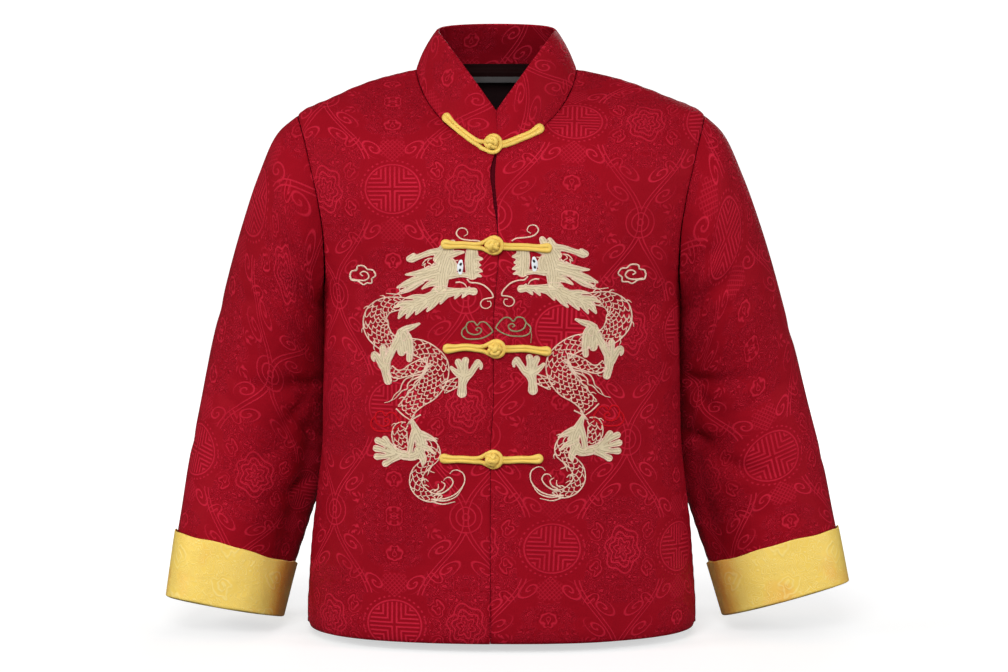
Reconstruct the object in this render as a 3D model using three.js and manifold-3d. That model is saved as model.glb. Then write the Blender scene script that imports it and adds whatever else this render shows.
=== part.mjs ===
// A child's padded Tang jacket with a stand collar, set-in sleeves, turned-back cuffs and four
// knotted cord fastenings, filled out as if worn. Millimetres, +Z up, the front faces -Y.
// The origin is the middle of the neck, level with the points where the shoulder seams reach it.
import * as THREE from "three";
import Module from "manifold-3d";
import { mergeVertices } from "three/addons/utils/BufferGeometryUtils.js";

const wasm = await Module();
wasm.setup();

// ---------------------------------------------------------------- driving sizes
const CLOTH = 3; // padded brocade, shell and wadding together
const SEAM = 0.4; // gap between two pieces that are sewn together
const ROUNDNESS = 2.3; // exponent of the torso's rounded sections, 2 would be an ellipse

const NECK = { halfWidth: 67, frontDrop: 60, middle: -3.5, dip: 1.3 };
const COLLAR = { halfWidth: 50.5, front: 62, frontZ: -34, back: 44, sideZ: 31, backZ: 37.5 };
const HEM_Z = -465;
const UNDERARM_Z = -190;
const SHOULDER_TIP_Z = -38;
// The line along which the front edges meet wanders a little to the viewer's left of the middle.
const COLLAR_MEETS_X = -3.4;
const OPENING = [
  { z: -60, x: -2.2 },
  { z: -84, x: -6.4 },
  { z: -104, x: -4.6 },
  { z: -124, x: -2.6 },
  { z: -152, x: -1.8 },
  { z: -178, x: -4 },
  { z: -200, x: -5.5 },
  { z: -265, x: -5.8 },
  { z: -305, x: -8 },
  { z: -465, x: -8.6 },
];

// The torso's sections at each level: half width and depths. From the underarm up the half width
// runs on into the shoulder, and above the shoulder's tip it is the shoulder seam itself.
const TORSO = [
  { z: 0, middle: -3.5, halfWidth: 67, front: 0, back: 52 },
  { z: -8, middle: -1.5, halfWidth: 102, front: 11, back: 59 },
  { z: -21, middle: 0, halfWidth: 136, front: 28, back: 67 },
  { z: -38, middle: 0.5, halfWidth: 169, front: 49, back: 74 },
  { z: -60, middle: 1, halfWidth: 175, front: 73, back: 81 },
  { z: -80, middle: 1, halfWidth: 175, front: 82, back: 86 },
  { z: -109, middle: 1, halfWidth: 170, front: 88, back: 90 },
  { z: -140, middle: 1, halfWidth: 161, front: 92, back: 93 },
  { z: -167, middle: 1, halfWidth: 153, front: 94, back: 94 },
  { z: -190, middle: 1, halfWidth: 149, front: 95, back: 94 },
  { z: -300, middle: 1, halfWidth: 150, front: 97, back: 93 },
  { z: -350, middle: 1, halfWidth: 155, front: 98, back: 93 },
  { z: -383, middle: 1, halfWidth: 159, front: 99, back: 94 },
  { z: -465, middle: 1, halfWidth: 165, front: 101, back: 97 },
];

// Where the armhole seam runs, seen from the front.
const ARMHOLE = [
  { z: -38, x: 169 },
  { z: -60, x: 162 },
  { z: -80, x: 157 },
  { z: -109, x: 150.5 },
  { z: -140, x: 146.5 },
  { z: -167, x: 146 },
  { z: -190, x: 149 },
];

// Sections of each sleeve from the shoulder to the wrist: the outermost and innermost point of
// each section seen from the front, its middle's place front to back, half its depth and how
// much higher its front is. The sleeve on -X is written as if it were on +X.
const SLEEVES = {
  right: [
    { outX: 187, outZ: -54, inX: 150, inZ: -204, y: 5, depth: 57, tip: 0 },
    { outX: 203, outZ: -88, inX: 150, inZ: -221, y: 12, depth: 58, tip: 0 },
    { outX: 216, outZ: -126, inX: 150, inZ: -241, y: 19, depth: 58, tip: 0 },
    { outX: 229.5, outZ: -170, inX: 149, inZ: -265, y: 25, depth: 57, tip: 0 },
    { outX: 241, outZ: -216, inX: 149, inZ: -290, y: 30, depth: 55, tip: 0 },
    { outX: 251.5, outZ: -263, inX: 149, inZ: -318, y: 32, depth: 54, tip: 0 },
    { outX: 260, outZ: -307, inX: 153.5, inZ: -350, y: 29, depth: 53, tip: 2 },
    { outX: 267.5, outZ: -348, inX: 164, inZ: -383, y: 24, depth: 51, tip: 5 },
    { outX: 274, outZ: -390, inX: 174.5, inZ: -418, y: 18, depth: 50, tip: 8 },
    { outX: 281.8, outZ: -447, inX: 186.3, inZ: -464, y: 12, depth: 49, tip: 8 },
  ],
  left: [
    { outX: 186.5, outZ: -54, inX: 151, inZ: -204, y: 5, depth: 57, tip: 0 },
    { outX: 203, outZ: -88, inX: 151, inZ: -221, y: 12, depth: 58, tip: 0 },
    { outX: 217, outZ: -126, inX: 151, inZ: -241, y: 19, depth: 58, tip: 0 },
    { outX: 231.5, outZ: -170, inX: 151, inZ: -265, y: 25, depth: 57, tip: 0 },
    { outX: 244, outZ: -216, inX: 151, inZ: -290, y: 30, depth: 55, tip: 0 },
    { outX: 256.5, outZ: -263, inX: 151, inZ: -318, y: 32, depth: 54, tip: 0 },
    { outX: 267.5, outZ: -307, inX: 155, inZ: -350, y: 29, depth: 53, tip: 2 },
    { outX: 276.5, outZ: -346, inX: 165, inZ: -383, y: 24, depth: 52, tip: 5 },
    { outX: 284.5, outZ: -387, inX: 176.5, inZ: -418, y: 18, depth: 51, tip: 8 },
    { outX: 293.2, outZ: -434, inX: 190.2, inZ: -463, y: 12, depth: 50, tip: 8 },
  ],
};

// Creases pressed into a sleeve: how far along it (0 shoulder, 1 wrist), the angle round it
// (0 outside, 90 front, 180 inside), the slant across, its half length, half width and depth.
const SLEEVE_CREASES = {
  right: [
    { along: 0.2, around: 118, slant: 0.9, reach: 46, width: 9, depth: 5 },
    { along: 0.46, around: 128, slant: 0.7, reach: 36, width: 8, depth: 5.5 },
    { along: 0.56, around: 146, slant: -0.3, reach: 28, width: 7, depth: 4.5 },
    { along: 0.5, around: 222, slant: -0.6, reach: 34, width: 8, depth: 4.5 },
    { along: 0.72, around: 150, slant: 0.5, reach: 26, width: 8, depth: 3 },
  ],
  left: [
    { along: 0.22, around: 116, slant: 0.8, reach: 42, width: 9, depth: 4.5 },
    { along: 0.44, around: 132, slant: 0.8, reach: 34, width: 8, depth: 5 },
    { along: 0.6, around: 140, slant: 0.5, reach: 30, width: 8, depth: 5.5 },
    { along: 0.5, around: 226, slant: -0.5, reach: 34, width: 8, depth: 4.5 },
    { along: 0.68, around: 112, slant: 0.9, reach: 24, width: 7, depth: 3 },
  ],
};

// Soft hollows in the body: the middle seen from the front, half width, half height and depth.
const BODY_HOLLOWS = {
  front: [
    { x: -112, z: -205, wide: 16, high: 60, depth: 2.2 },
    { x: 110, z: -212, wide: 17, high: 66, depth: 2.4 },
    { x: -70, z: -410, wide: 20, high: 62, depth: 1.8 },
    { x: 52, z: -392, wide: 18, high: 54, depth: 1.6 },
    { x: 104, z: -400, wide: 17, high: 70, depth: 2 },
  ],
  back: [
    { x: -104, z: -190, wide: 16, high: 70, depth: 2.6 },
    { x: 108, z: -180, wide: 17, high: 66, depth: 2.4 },
    { x: -38, z: -390, wide: 22, high: 80, depth: 2.2 },
    { x: 60, z: -370, wide: 20, high: 76, depth: 2 },
  ],
};

// Places along the sleeve, 0 at the armhole and 1 at the wrist, and the cuff's thickness.
const CUFF = { top: 0.9, sleeveEnd: 0.982, fold: 0.9885, insideTop: 0.955, thickness: 2 };
const UNDERLAP = { width: 34, thickness: 2 };
const FACING = { height: 12, thickness: 1 };
const LINING = { thickness: 1 };
const KNOT = { ball: 11, ring: 2.6, ringLift: 4.4 };
// A strap from its folded end (0) towards the knot (1). Both halves start alike: the knot half
// then runs in under the ring, and the loop half climbs to join it.
const STRAP = [
  { at: 0, width: 4, thickness: 2.2, lift: 0 },
  { at: 0.04, width: 8.4, thickness: 3.2, lift: 0 },
  { at: 0.16, width: 8.4, thickness: 3.2, lift: 0 },
  { at: 0.3, width: 6.2, thickness: 3.2, lift: 0 },
  { at: 0.48, width: 6.2, thickness: 3.2, lift: 0 },
  { at: 0.66, width: 6.2, thickness: 3.2, lift: 0 },
];
const STRAP_TO_KNOT = [
  { at: 0.8, width: 4.4, thickness: 2, lift: 0 },
  { at: 0.96, width: 3, thickness: 2, lift: 0 },
];
const STRAP_TO_LOOP = [
  { at: 0.79, width: 5.2, thickness: 2.8, lift: 1.6 },
  { at: 0.85, width: 4.4, thickness: 2.6, lift: 3 },
];
// A strap's section as shares of its width and thickness.
const STRAP_SECTION = [
  { u: -0.3, v: 0 },
  { u: 0.3, v: 0 },
  { u: 0.5, v: 0.35 },
  { u: 0.5, v: 0.65 },
  { u: 0.3, v: 1 },
  { u: -0.3, v: 1 },
  { u: -0.5, v: 0.65 },
  { u: -0.5, v: 0.35 },
];

// The fastenings, seen from the front: the knot, where either strap ends, and the strap's sag.
const FASTENINGS = [
  { name: "frog_1", x: -7.5, z: -61.5, leftX: -44, leftZ: -42, rightX: 32, rightZ: -49, sag: 2 },
  { name: "frog_2", x: -6.6, z: -141, leftX: -44.5, leftZ: -140, rightX: 38, rightZ: -143, sag: 0 },
  { name: "frog_3", x: -4.7, z: -224, leftX: -43, leftZ: -224, rightX: 37.5, rightZ: -226, sag: 0 },
  { name: "frog_4", x: -7, z: -313.5, leftX: -46, leftZ: -313, rightX: 31, rightZ: -313, sag: 0 },
];

// How finely the cloth is cut into facets.
const BODY_STEPS = 5; // rows from the hem to the underarm
const ARMHOLE_STEPS = 14; // and on up the armhole
const NECK_STEPS = 7; // of which beside the neckline
const ACROSS = 8; // columns of a front, or of half the back
const SLEEVE_ROWS = 20;
const SLEEVE_COLUMNS = 20;
const EDGE_TURN = 0.01; // degrees that keep a seam's edge on its own side of the seam

const RED = new THREE.MeshStandardMaterial({ color: 0x9c1424, roughness: 0.55, metalness: 0 });
const GOLD = new THREE.MeshStandardMaterial({ color: 0xe6c258, roughness: 0.5, metalness: 0 });
const DARK = new THREE.MeshStandardMaterial({ color: 0x231a1c, roughness: 0.6, metalness: 0 });
const DARK_RED = new THREE.MeshStandardMaterial({ color: 0x4c0d16, roughness: 0.6, metalness: 0 });

// ---------------------------------------------------------------- small tools
const radians = THREE.MathUtils.degToRad;
const mix = THREE.MathUtils.lerp;
const steps = (count) => Array.from({ length: count + 1 }, (_, i) => i / count);

// Reads a column of a table at a place between its rows, without overshooting the rows.
function column(table, key, name, at) {
  const sign = Math.sign(table.at(-1)[key] - table[0][key]);
  const where = sign * at;
  const places = table.map((row) => sign * row[key]);
  const last = table.length - 2;
  let i = 0;
  while (i < last && where > places[i + 1]) i++;
  const value = (j) => table[THREE.MathUtils.clamp(j, 0, last + 1)][name];
  const place = (j) => places[THREE.MathUtils.clamp(j, 0, last + 1)];
  const rise = (j) => (value(j + 1) - value(j)) / (place(j + 1) - place(j));
  const slope = (j) => {
    if (j <= 0) return rise(0);
    if (j > last) return rise(last);
    const [before, after] = [rise(j - 1), rise(j)];
    return before * after <= 0 ? 0 : (2 * before * after) / (before + after);
  };
  const span = place(i + 1) - place(i);
  const t = THREE.MathUtils.clamp((where - place(i)) / span, 0, 1);
  const [t2, t3] = [t * t, t * t * t];
  return (
    (2 * t3 - 3 * t2 + 1) * value(i) +
    (t3 - 2 * t2 + t) * span * slope(i) +
    (3 * t2 - 2 * t3) * value(i + 1) +
    (t3 - t2) * span * slope(i + 1)
  );
}

// A closed wall between two grids of points, [row][column]. A tube's columns go all round.
function wall(outer, inner, isTube) {
  const rows = outer.length;
  const columns = outer[0].length;
  const positions = [...outer.flat(), ...inner.flat()].flatMap((p) => [p.x, p.y, p.z]);
  const at = (side, i, j) => side * rows * columns + i * columns + (j % columns);
  const faces = [];
  const quad = (a, b, c, d) => faces.push(a, b, c, a, c, d);
  const spans = isTube ? columns : columns - 1;
  for (let j = 0; j < spans; j++) {
    for (let i = 0; i < rows - 1; i++) {
      quad(at(0, i, j), at(0, i, j + 1), at(0, i + 1, j + 1), at(0, i + 1, j));
      quad(at(1, i, j), at(1, i + 1, j), at(1, i + 1, j + 1), at(1, i, j + 1));
    }
    quad(at(0, 0, j), at(1, 0, j), at(1, 0, j + 1), at(0, 0, j + 1));
    quad(at(0, rows - 1, j + 1), at(1, rows - 1, j + 1), at(1, rows - 1, j), at(0, rows - 1, j));
  }
  if (!isTube) {
    for (let i = 0; i < rows - 1; i++) {
      quad(at(0, i + 1, 0), at(1, i + 1, 0), at(1, i, 0), at(0, i, 0));
      const end = columns - 1;
      quad(at(0, i, end), at(1, i, end), at(1, i + 1, end), at(0, i + 1, end));
    }
  }
  return faceOutward(positions, faces);
}

// A tube through closed rings of points, with flat ends.
function stack(rings) {
  const count = rings[0].length;
  const ends = [rings[0], rings.at(-1)].map((ring) =>
    ring.reduce((sum, p) => sum.add(p), new THREE.Vector3()).divideScalar(count),
  );
  const positions = [...rings.flat(), ...ends].flatMap((p) => [p.x, p.y, p.z]);
  const faces = [];
  for (let i = 0; i < rings.length - 1; i++) {
    for (let j = 0; j < count; j++) {
      const [a, b] = [i * count + j, i * count + ((j + 1) % count)];
      faces.push(a, b, b + count, a, b + count, a + count);
    }
  }
  const start = rings.length * count;
  for (let j = 0; j < count; j++) {
    const next = (j + 1) % count;
    faces.push(start, next, j);
    faces.push(start + 1, start - count + j, start - count + next);
  }
  return faceOutward(positions, faces);
}

// Makes the geometry, turned inside out where its faces point inwards.
function faceOutward(positions, faces) {
  const point = (i) => new THREE.Vector3().fromArray(positions, 3 * i);
  let volume = 0;
  for (let i = 0; i < faces.length; i += 3) {
    volume += point(faces[i]).dot(point(faces[i + 1]).cross(point(faces[i + 2])));
  }
  if (volume < 0) faces.reverse();
  const geometry = new THREE.BufferGeometry();
  geometry.setAttribute("position", new THREE.Float32BufferAttribute(positions, 3));
  geometry.setIndex(faces);
  return geometry;
}

function toSolid(geometry) {
  const bare = geometry.clone();
  for (const name of ["normal", "uv"]) bare.deleteAttribute(name);
  const merged = mergeVertices(bare, 1e-4);
  const vertProperties = merged.attributes.position.array;
  const triVerts = new Uint32Array(merged.index.array);
  return new wasm.Manifold(new wasm.Mesh({ numProp: 3, vertProperties, triVerts }));
}

// Joins overlapping closed geometries into one.
function join(geometries) {
  const whole = geometries.map(toSolid).reduce((sum, solid) => sum.add(solid));
  const { numVert, numProp, vertProperties, triVerts } = whole.getMesh();
  const positions = new Float32Array(numVert * 3);
  for (let i = 0; i < numVert; i++) {
    positions.set(vertProperties.subarray(i * numProp, i * numProp + 3), i * 3);
  }
  const geometry = new THREE.BufferGeometry();
  geometry.setAttribute("position", new THREE.BufferAttribute(positions, 3));
  return geometry.setIndex(new THREE.BufferAttribute(triVerts, 1));
}

const jacket = new THREE.Group();
function add(name, geometry, material) {
  const mesh = new THREE.Mesh(geometry, material);
  mesh.name = name;
  jacket.add(mesh);
}

// ---------------------------------------------------------------- the torso's surface
const torso = (name, z) => column(TORSO, "z", name, z);

// How deep the soft hollows press in at a point.
function hollow(list, x, z) {
  return list.reduce((sum, h) => {
    const far = ((x - h.x) / h.wide) ** 2 + ((z - h.z) / h.high) ** 2;
    return sum + h.depth * Math.exp(-far);
  }, 0);
}

// A point of the smooth torso. The turn is 0 at the middle of the front, 90 at the +X side seam,
// -90 at the other one and 180 either way at the middle of the back.
function smoothTorso(turn, z) {
  const s = Math.sin(radians(turn));
  const isFront = Math.cos(radians(turn)) > 0;
  const q = (1 - Math.min(1, Math.abs(s)) ** ROUNDNESS) ** (1 / ROUNDNESS);
  const y = isFront ? -torso("front", z) * q - SEAM / 2 : torso("back", z) * q + SEAM / 2;
  return new THREE.Vector3(torso("middle", z) + torso("halfWidth", z) * s, y, z);
}

function torsoNormal(turn, z) {
  const step = 0.02;
  const across = smoothTorso(turn + step, z).sub(smoothTorso(turn - step, z));
  const up = smoothTorso(turn, z + step).sub(smoothTorso(turn, z - step));
  return across.cross(up).normalize();
}

// The cloth's outer face, or a face a given depth inside it.
function torsoPoint(turn, z, depth = 0) {
  const point = smoothTorso(turn, z);
  const isFront = Math.cos(radians(turn)) > 0;
  const dent = hollow(isFront ? BODY_HOLLOWS.front : BODY_HOLLOWS.back, point.x, z);
  return point.addScaledVector(torsoNormal(turn, z), -dent - depth);
}

// The turn at which the front lies at this x.
function turnAt(x, z) {
  const s = (x - torso("middle", z)) / torso("halfWidth", z);
  return THREE.MathUtils.radToDeg(Math.asin(THREE.MathUtils.clamp(s, -1, 1)));
}

// ---------------------------------------------------------------- edges of the pattern pieces
// The front edges: where they meet, and how far each stands back from there.
const openingX = (z) => column(OPENING, "z", "x", Math.min(z, OPENING[0].z));
function ajar(z) {
  return 0.35 + 1.9 * Math.exp(-(((z + 82) / 15) ** 2)) + 1.2 * Math.exp(-(((z + 108) / 14) ** 2));
}

// The armhole at an angle round it: 0 at the shoulder seam, 180 at the underarm.
function armholeZ(around) {
  return mix(UNDERARM_Z, SHOULDER_TIP_Z, (1 + Math.cos(radians(around))) / 2);
}
function armholeTurn(around) {
  const z = armholeZ(around);
  const x = column(ARMHOLE, "z", "x", z) + torso("middle", z);
  return Math.min(turnAt(x, z), 90 - EDGE_TURN);
}

// The front neckline, from the middle at 0 to the +X shoulder at 90.
function neckline(angle) {
  const x = NECK.middle + NECK.halfWidth * Math.sin(radians(angle));
  return { x, z: -NECK.frontDrop * Math.cos(radians(angle)) ** NECK.dip };
}

// Rows of a front or half the back from hem to shoulder. Each runs from the middle or neckline
// to the side seam or armhole, as a turn and a height for either end.
function panelRows(side, isFront) {
  const edge = (z) => (isFront ? turnAt(openingX(z) + side * ajar(z), z) : side * 180);
  const rows = steps(BODY_STEPS)
    .slice(0, -1)
    .map((t) => mix(HEM_Z, UNDERARM_Z, t))
    .map((z) => ({ inTurn: edge(z), inZ: z, outTurn: side * 90, outZ: z }));
  const neckZ = isFront ? -NECK.frontDrop : 0;
  const first = (openingX(neckZ) + side * ajar(neckZ) - NECK.middle) / NECK.halfWidth;
  const firstAngle = THREE.MathUtils.radToDeg(Math.asin(first));
  for (let i = 0; i <= ARMHOLE_STEPS; i++) {
    const around = 180 * (1 - i / ARMHOLE_STEPS);
    const armhole = armholeTurn(around);
    const out = { outTurn: side * (isFront ? armhole : 180 - armhole), outZ: armholeZ(around) };
    const past = (i - ARMHOLE_STEPS + NECK_STEPS) / NECK_STEPS;
    if (past <= 0) {
      const inZ = mix(UNDERARM_Z, neckZ, i / (ARMHOLE_STEPS - NECK_STEPS));
      rows.push({ inTurn: edge(inZ), inZ, ...out });
    } else if (isFront && past < 1) {
      const { x, z } = neckline(mix(firstAngle, side * 90, past));
      rows.push({ inTurn: turnAt(x, z), inZ: z, ...out });
    } else {
      rows.push({ inTurn: side * (isFront ? 90 : mix(180, 90, past)), inZ: 0, ...out });
    }
  }
  const [least, most] = isFront ? [-90, 90 - EDGE_TURN] : [90 + EDGE_TURN, 180];
  const ownSide = (turn) => side * THREE.MathUtils.clamp(side * turn, least, most);
  return rows.map((row) => ({ ...row, inTurn: ownSide(row.inTurn), outTurn: ownSide(row.outTurn) }));
}

// ---------------------------------------------------------------- body panels
// A face of a front or half the back at a depth. Its outer and lower edge can be drawn in.
function panelFace(side, isFront, depth, inset = 0) {
  const face = panelRows(side, isFront).map((row) =>
    steps(ACROSS).map((t) => {
      const turn = mix(row.inTurn, row.outTurn, t);
      return torsoPoint(turn, mix(row.inZ, row.outZ, t), depth);
    }),
  );
  for (const row of face) row[ACROSS].lerp(row[ACROSS - 1], inset);
  face[0].forEach((p, j) => p.lerp(face[1][j], inset));
  return face;
}
const frontPanel = (side) => wall(panelFace(side, true, 0), panelFace(side, true, CLOTH), false);

// The back is one piece, made here as two halves and joined along its middle.
function backPiece(first, thickness, inset = 0) {
  const half = (side) => {
    const faces = [first, first + thickness].map((depth) => panelFace(side, false, depth, inset));
    return wall(...faces, false);
  };
  return join([half(-1), half(1)]);
}

// The band that covers the top of the back lining, below the collar.
function neckFacing() {
  const first = CLOTH + LINING.thickness + 2 * SEAM;
  const strip = (depth) => {
    const edges = [-1, 1].map((side) => {
      const rows = panelFace(side, false, depth).slice(-NECK_STEPS - 1);
      const edge = rows.map(([top, next]) => {
        return [top, next.clone().sub(top).setLength(FACING.height).add(top)];
      });
      return side < 0 ? edge.reverse() : edge.slice(1);
    });
    const around = edges.flat();
    return [0, 1].map((i) => around.map((pair) => pair[i]));
  };
  return wall(strip(first), strip(first + FACING.thickness), false);
}

// The strip sewn behind the opening.
function underlap() {
  const first = CLOTH + 3 * SEAM;
  const face = (depth) =>
    steps(18).map((t) => {
      const z = mix(HEM_Z + 6, -NECK.frontDrop - 5, t);
      return steps(4).map((u) => {
        const x = openingX(z) + (u - 0.5) * UNDERLAP.width;
        return torsoPoint(turnAt(x, z), z, depth);
      });
    });
  return wall(face(first), face(first + UNDERLAP.thickness), false);
}

// ---------------------------------------------------------------- stand collar
// A point of the collar: the angle round the neck (0 front, 90 at +X, 180 back), how far up from
// the seam (0) to the top edge (1), and the depth in from its outer face.
function collarPoint(angle, up, depth = 0) {
  const [s, c] = [Math.sin(radians(angle)), Math.cos(radians(angle))];
  const base = new THREE.Vector3();
  const top = new THREE.Vector3(NECK.middle, 0, 0);
  if (c > 0) {
    const { x, z } = neckline(angle);
    base.copy(smoothTorso(turnAt(x, z), z));
    const share = angle / 90;
    top.x += COLLAR.halfWidth * share;
    top.y = -COLLAR.front * Math.sqrt(1 - share * share);
    top.z = mix(COLLAR.frontZ, COLLAR.sideZ, Math.abs(share));
  } else {
    base.copy(smoothTorso(angle, 0));
    top.x += COLLAR.halfWidth * s;
    top.y = -COLLAR.back * c;
    top.z = mix(COLLAR.sideZ, COLLAR.backZ, (-c) ** 0.6);
  }
  base.z += 2 * SEAM;
  const outward = new THREE.Vector3(s, -c, 0);
  const belly = 1.6 * Math.sin(Math.PI * up) - SEAM * (1 - up);
  return base.lerp(top, up).addScaledVector(outward, belly - depth);
}

// The collar runs once round, from one front end to the other.
function collar() {
  const face = (depth) =>
    steps(4).map((up) => {
      const meet = mix(OPENING[0].x, COLLAR_MEETS_X, up) - NECK.middle;
      const turnsPerMm = 90 / mix(NECK.halfWidth * 1.5, COLLAR.halfWidth, up);
      const [start, end] = [0.3, -0.3].map((gap) => (meet + gap) * turnsPerMm);
      return steps(36).map((t) => {
        const angle = mix(start, end + 360, t);
        return collarPoint(angle > 180 ? angle - 360 : angle, up, depth);
      });
    });
  return wall(face(0), face(CLOTH), false);
}

// ---------------------------------------------------------------- sleeves and cuffs
// The curve that runs down a sleeve at an angle round it, on the +X side.
function sleeveCurve(name, around) {
  const [s, c] = [Math.sin(radians(around)), Math.cos(radians(around))];
  const folded = around <= 180 ? around : 360 - around;
  const side = name === "right" ? -1 : 1;
  const turn = armholeTurn(folded);
  const start = smoothTorso(side * (around <= 180 ? turn : 180 - turn), armholeZ(folded));
  start.x = side * start.x + SEAM;
  if (folded === 0 || folded === 180) start.y = 0;
  const places = SLEEVES[name].map((row) => {
    const x = mix(row.inX, row.outX, (1 + c) / 2);
    const z = mix(row.inZ, row.outZ, (1 + c) / 2);
    return new THREE.Vector3(x, row.y - row.depth * s, z + row.tip * s);
  });
  return new THREE.CatmullRomCurve3([start, ...places]);
}

// A grid of the sleeve's outer face with its creases, then moved in by a depth. The places
// along it run from 0 at the armhole to 1 at the wrist.
function sleeveFace(name, places, depth) {
  const side = name === "right" ? -1 : 1;
  const arounds = steps(SLEEVE_COLUMNS).slice(0, -1).map((t) => 360 * t);
  const curves = new Map();
  const curveAt = (around) => {
    const turned = (around + 360) % 360;
    if (!curves.has(turned)) curves.set(turned, sleeveCurve(name, turned));
    return curves.get(turned);
  };
  return places.map((along) =>
    arounds.map((around) => {
      const here = curveAt(around).getPoint(along);
      const down = curveAt(around).getTangent(along);
      const across = curveAt(around + 2).getPoint(along).sub(curveAt(around - 2).getPoint(along));
      const inward = across.cross(down).normalize();
      const middle = curveAt(around + 180).getPoint(along).sub(here);
      if (inward.dot(middle) < 0) inward.negate();
      if (along === 0) inward.setX(Math.max(0, inward.x)).normalize();
      const crease = SLEEVE_CREASES[name].reduce((sum, fold) => {
        const ahead = (along - fold.along) * 400;
        const round = (((around - fold.around + 540) % 360) - 180) * 0.9;
        const lengthwise = ahead * Math.cos(fold.slant) + round * Math.sin(fold.slant);
        const sideways = -ahead * Math.sin(fold.slant) + round * Math.cos(fold.slant);
        const far = (sideways / fold.reach) ** 2 + (lengthwise / fold.width) ** 2;
        return sum + fold.depth * Math.exp(-far);
      }, 0);
      here.addScaledVector(inward, crease + depth);
      return new THREE.Vector3(side * here.x, here.y, here.z);
    }),
  );
}

function sleeve(name) {
  const places = steps(SLEEVE_ROWS).map((t) => CUFF.sleeveEnd * t);
  return wall(sleeveFace(name, places, 0), sleeveFace(name, places, CLOTH), true);
}

// The cuff folds round the sleeve's end: up the outside and a little way up the inside. Its two
// faces follow one path each, as places along the sleeve and depths in from the sleeve's face.
function cuff(name) {
  const face = (gap, end) => {
    const turn = mix(CUFF.sleeveEnd, end, 0.75);
    const path = [
      { along: CUFF.top, depth: -gap },
      { along: 0.915, depth: -gap },
      { along: 0.945, depth: -gap },
      { along: 0.975, depth: -gap },
      { along: turn, depth: -gap },
      { along: end, depth: 1.2 - gap },
      { along: end, depth: CLOTH + gap - 1.2 },
      { along: turn, depth: CLOTH + gap },
      { along: CUFF.insideTop, depth: CLOTH + gap },
    ];
    return path.map(({ along, depth }) => sleeveFace(name, [along], depth)[0]);
  };
  return wall(face(SEAM + CUFF.thickness, 1), face(SEAM, CUFF.fold), true);
}

// ---------------------------------------------------------------- knotted fastenings
// The front's outermost face seen from the front: the collar above the neckline, else the body.
function frontAt(x, z) {
  const sine = THREE.MathUtils.clamp((x - NECK.middle) / NECK.halfWidth, -1, 1);
  const seam = neckline(THREE.MathUtils.radToDeg(Math.asin(sine)));
  if (z <= seam.z) return torsoPoint(turnAt(x, z), z);
  let [low, high] = [-80, 80];
  let point;
  for (let i = 0; i < 24; i++) {
    const angle = (low + high) / 2;
    const [base, top] = [collarPoint(angle, 0), collarPoint(angle, 1)];
    point = collarPoint(angle, (z - base.z) / (top.z - base.z));
    if (point.x < x) low = angle;
    else high = angle;
  }
  return point;
}

// A place on the front with its outward direction, lifted until a strap clears the cloth on
// both sides.
function raised(x, z, ahead) {
  const step = 3;
  const across = frontAt(x + step, z).sub(frontAt(x - step, z));
  const up = frontAt(x, z + step).sub(frontAt(x, z - step));
  const out = across.cross(up).normalize();
  const place = frontAt(x, z);
  const sideways = out.clone().cross(ahead).normalize();
  const lifts = [-4, -2, 2, 4].map((distance) => {
    const beside = place.clone().addScaledVector(sideways, distance);
    return frontAt(beside.x, beside.z).sub(beside).dot(out);
  });
  return { place: place.addScaledVector(out, Math.max(0, ...lifts)), out };
}

// A cord strap through stations on the cloth.
function strap(stations) {
  const rings = stations.map((station, i) => {
    const { place, out, width, thickness, lift } = station;
    const before = stations[Math.max(0, i - 1)].place;
    const after = stations[Math.min(stations.length - 1, i + 1)].place;
    const across = out.clone().cross(after.clone().sub(before)).normalize();
    return STRAP_SECTION.map(({ u, v }) => {
      const corner = place.clone().addScaledVector(across, u * width);
      return corner.addScaledVector(out, SEAM + lift + v * thickness);
    });
  });
  return stack(rings);
}

// Both halves of a fastening: the strap with the ball, and the strap with the ring round it.
function fastening({ name, x, z, leftX, leftZ, rightX, rightZ, sag }) {
  const half = (endX, endZ, rows) => {
    const ahead = new THREE.Vector3(x - endX, 0, z - endZ).normalize();
    const stations = rows.map((row) => {
      const drop = sag * Math.sin(Math.PI * row.at);
      return { ...row, ...raised(mix(endX, x, row.at), mix(endZ, z, row.at) - drop, ahead) };
    });
    return strap(stations);
  };
  const knot = raised(x, z, new THREE.Vector3(1, 0, 0));
  const facing = new THREE.Quaternion().setFromUnitVectors(new THREE.Vector3(0, 0, 1), knot.out);
  const atKnot = (geometry, lift) => {
    const centre = knot.place.clone().addScaledVector(knot.out, SEAM + lift);
    return geometry.applyQuaternion(facing).translate(centre.x, centre.y, centre.z);
  };
  const ball = atKnot(new THREE.SphereGeometry(KNOT.ball / 2, 12, 8), KNOT.ball / 2);
  const ringRadius = KNOT.ball / 2 + SEAM + KNOT.ring / 2;
  const ring = atKnot(new THREE.TorusGeometry(ringRadius, KNOT.ring / 2, 6, 18), KNOT.ringLift);
  add(`${name}_knot`, join([half(rightX, rightZ, [...STRAP, ...STRAP_TO_KNOT]), ball]), GOLD);
  add(`${name}_loop`, join([half(leftX, leftZ, [...STRAP, ...STRAP_TO_LOOP]), ring]), GOLD);
}

// ---------------------------------------------------------------- the jacket
add("front_right", frontPanel(-1), RED);
add("front_left", frontPanel(1), RED);
add("back", backPiece(0, CLOTH), RED);
add("sleeve_right", sleeve("right"), RED);
add("sleeve_left", sleeve("left"), RED);
add("cuff_right", cuff("right"), GOLD);
add("cuff_left", cuff("left"), GOLD);
add("collar", collar(), RED);
add("underlap", underlap(), DARK);
add("neck_facing", neckFacing(), DARK_RED);
add("lining_back", backPiece(CLOTH + SEAM, LINING.thickness, 0.3), DARK);

for (const row of FASTENINGS) fastening(row);

export default jacket;
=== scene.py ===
import math

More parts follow.
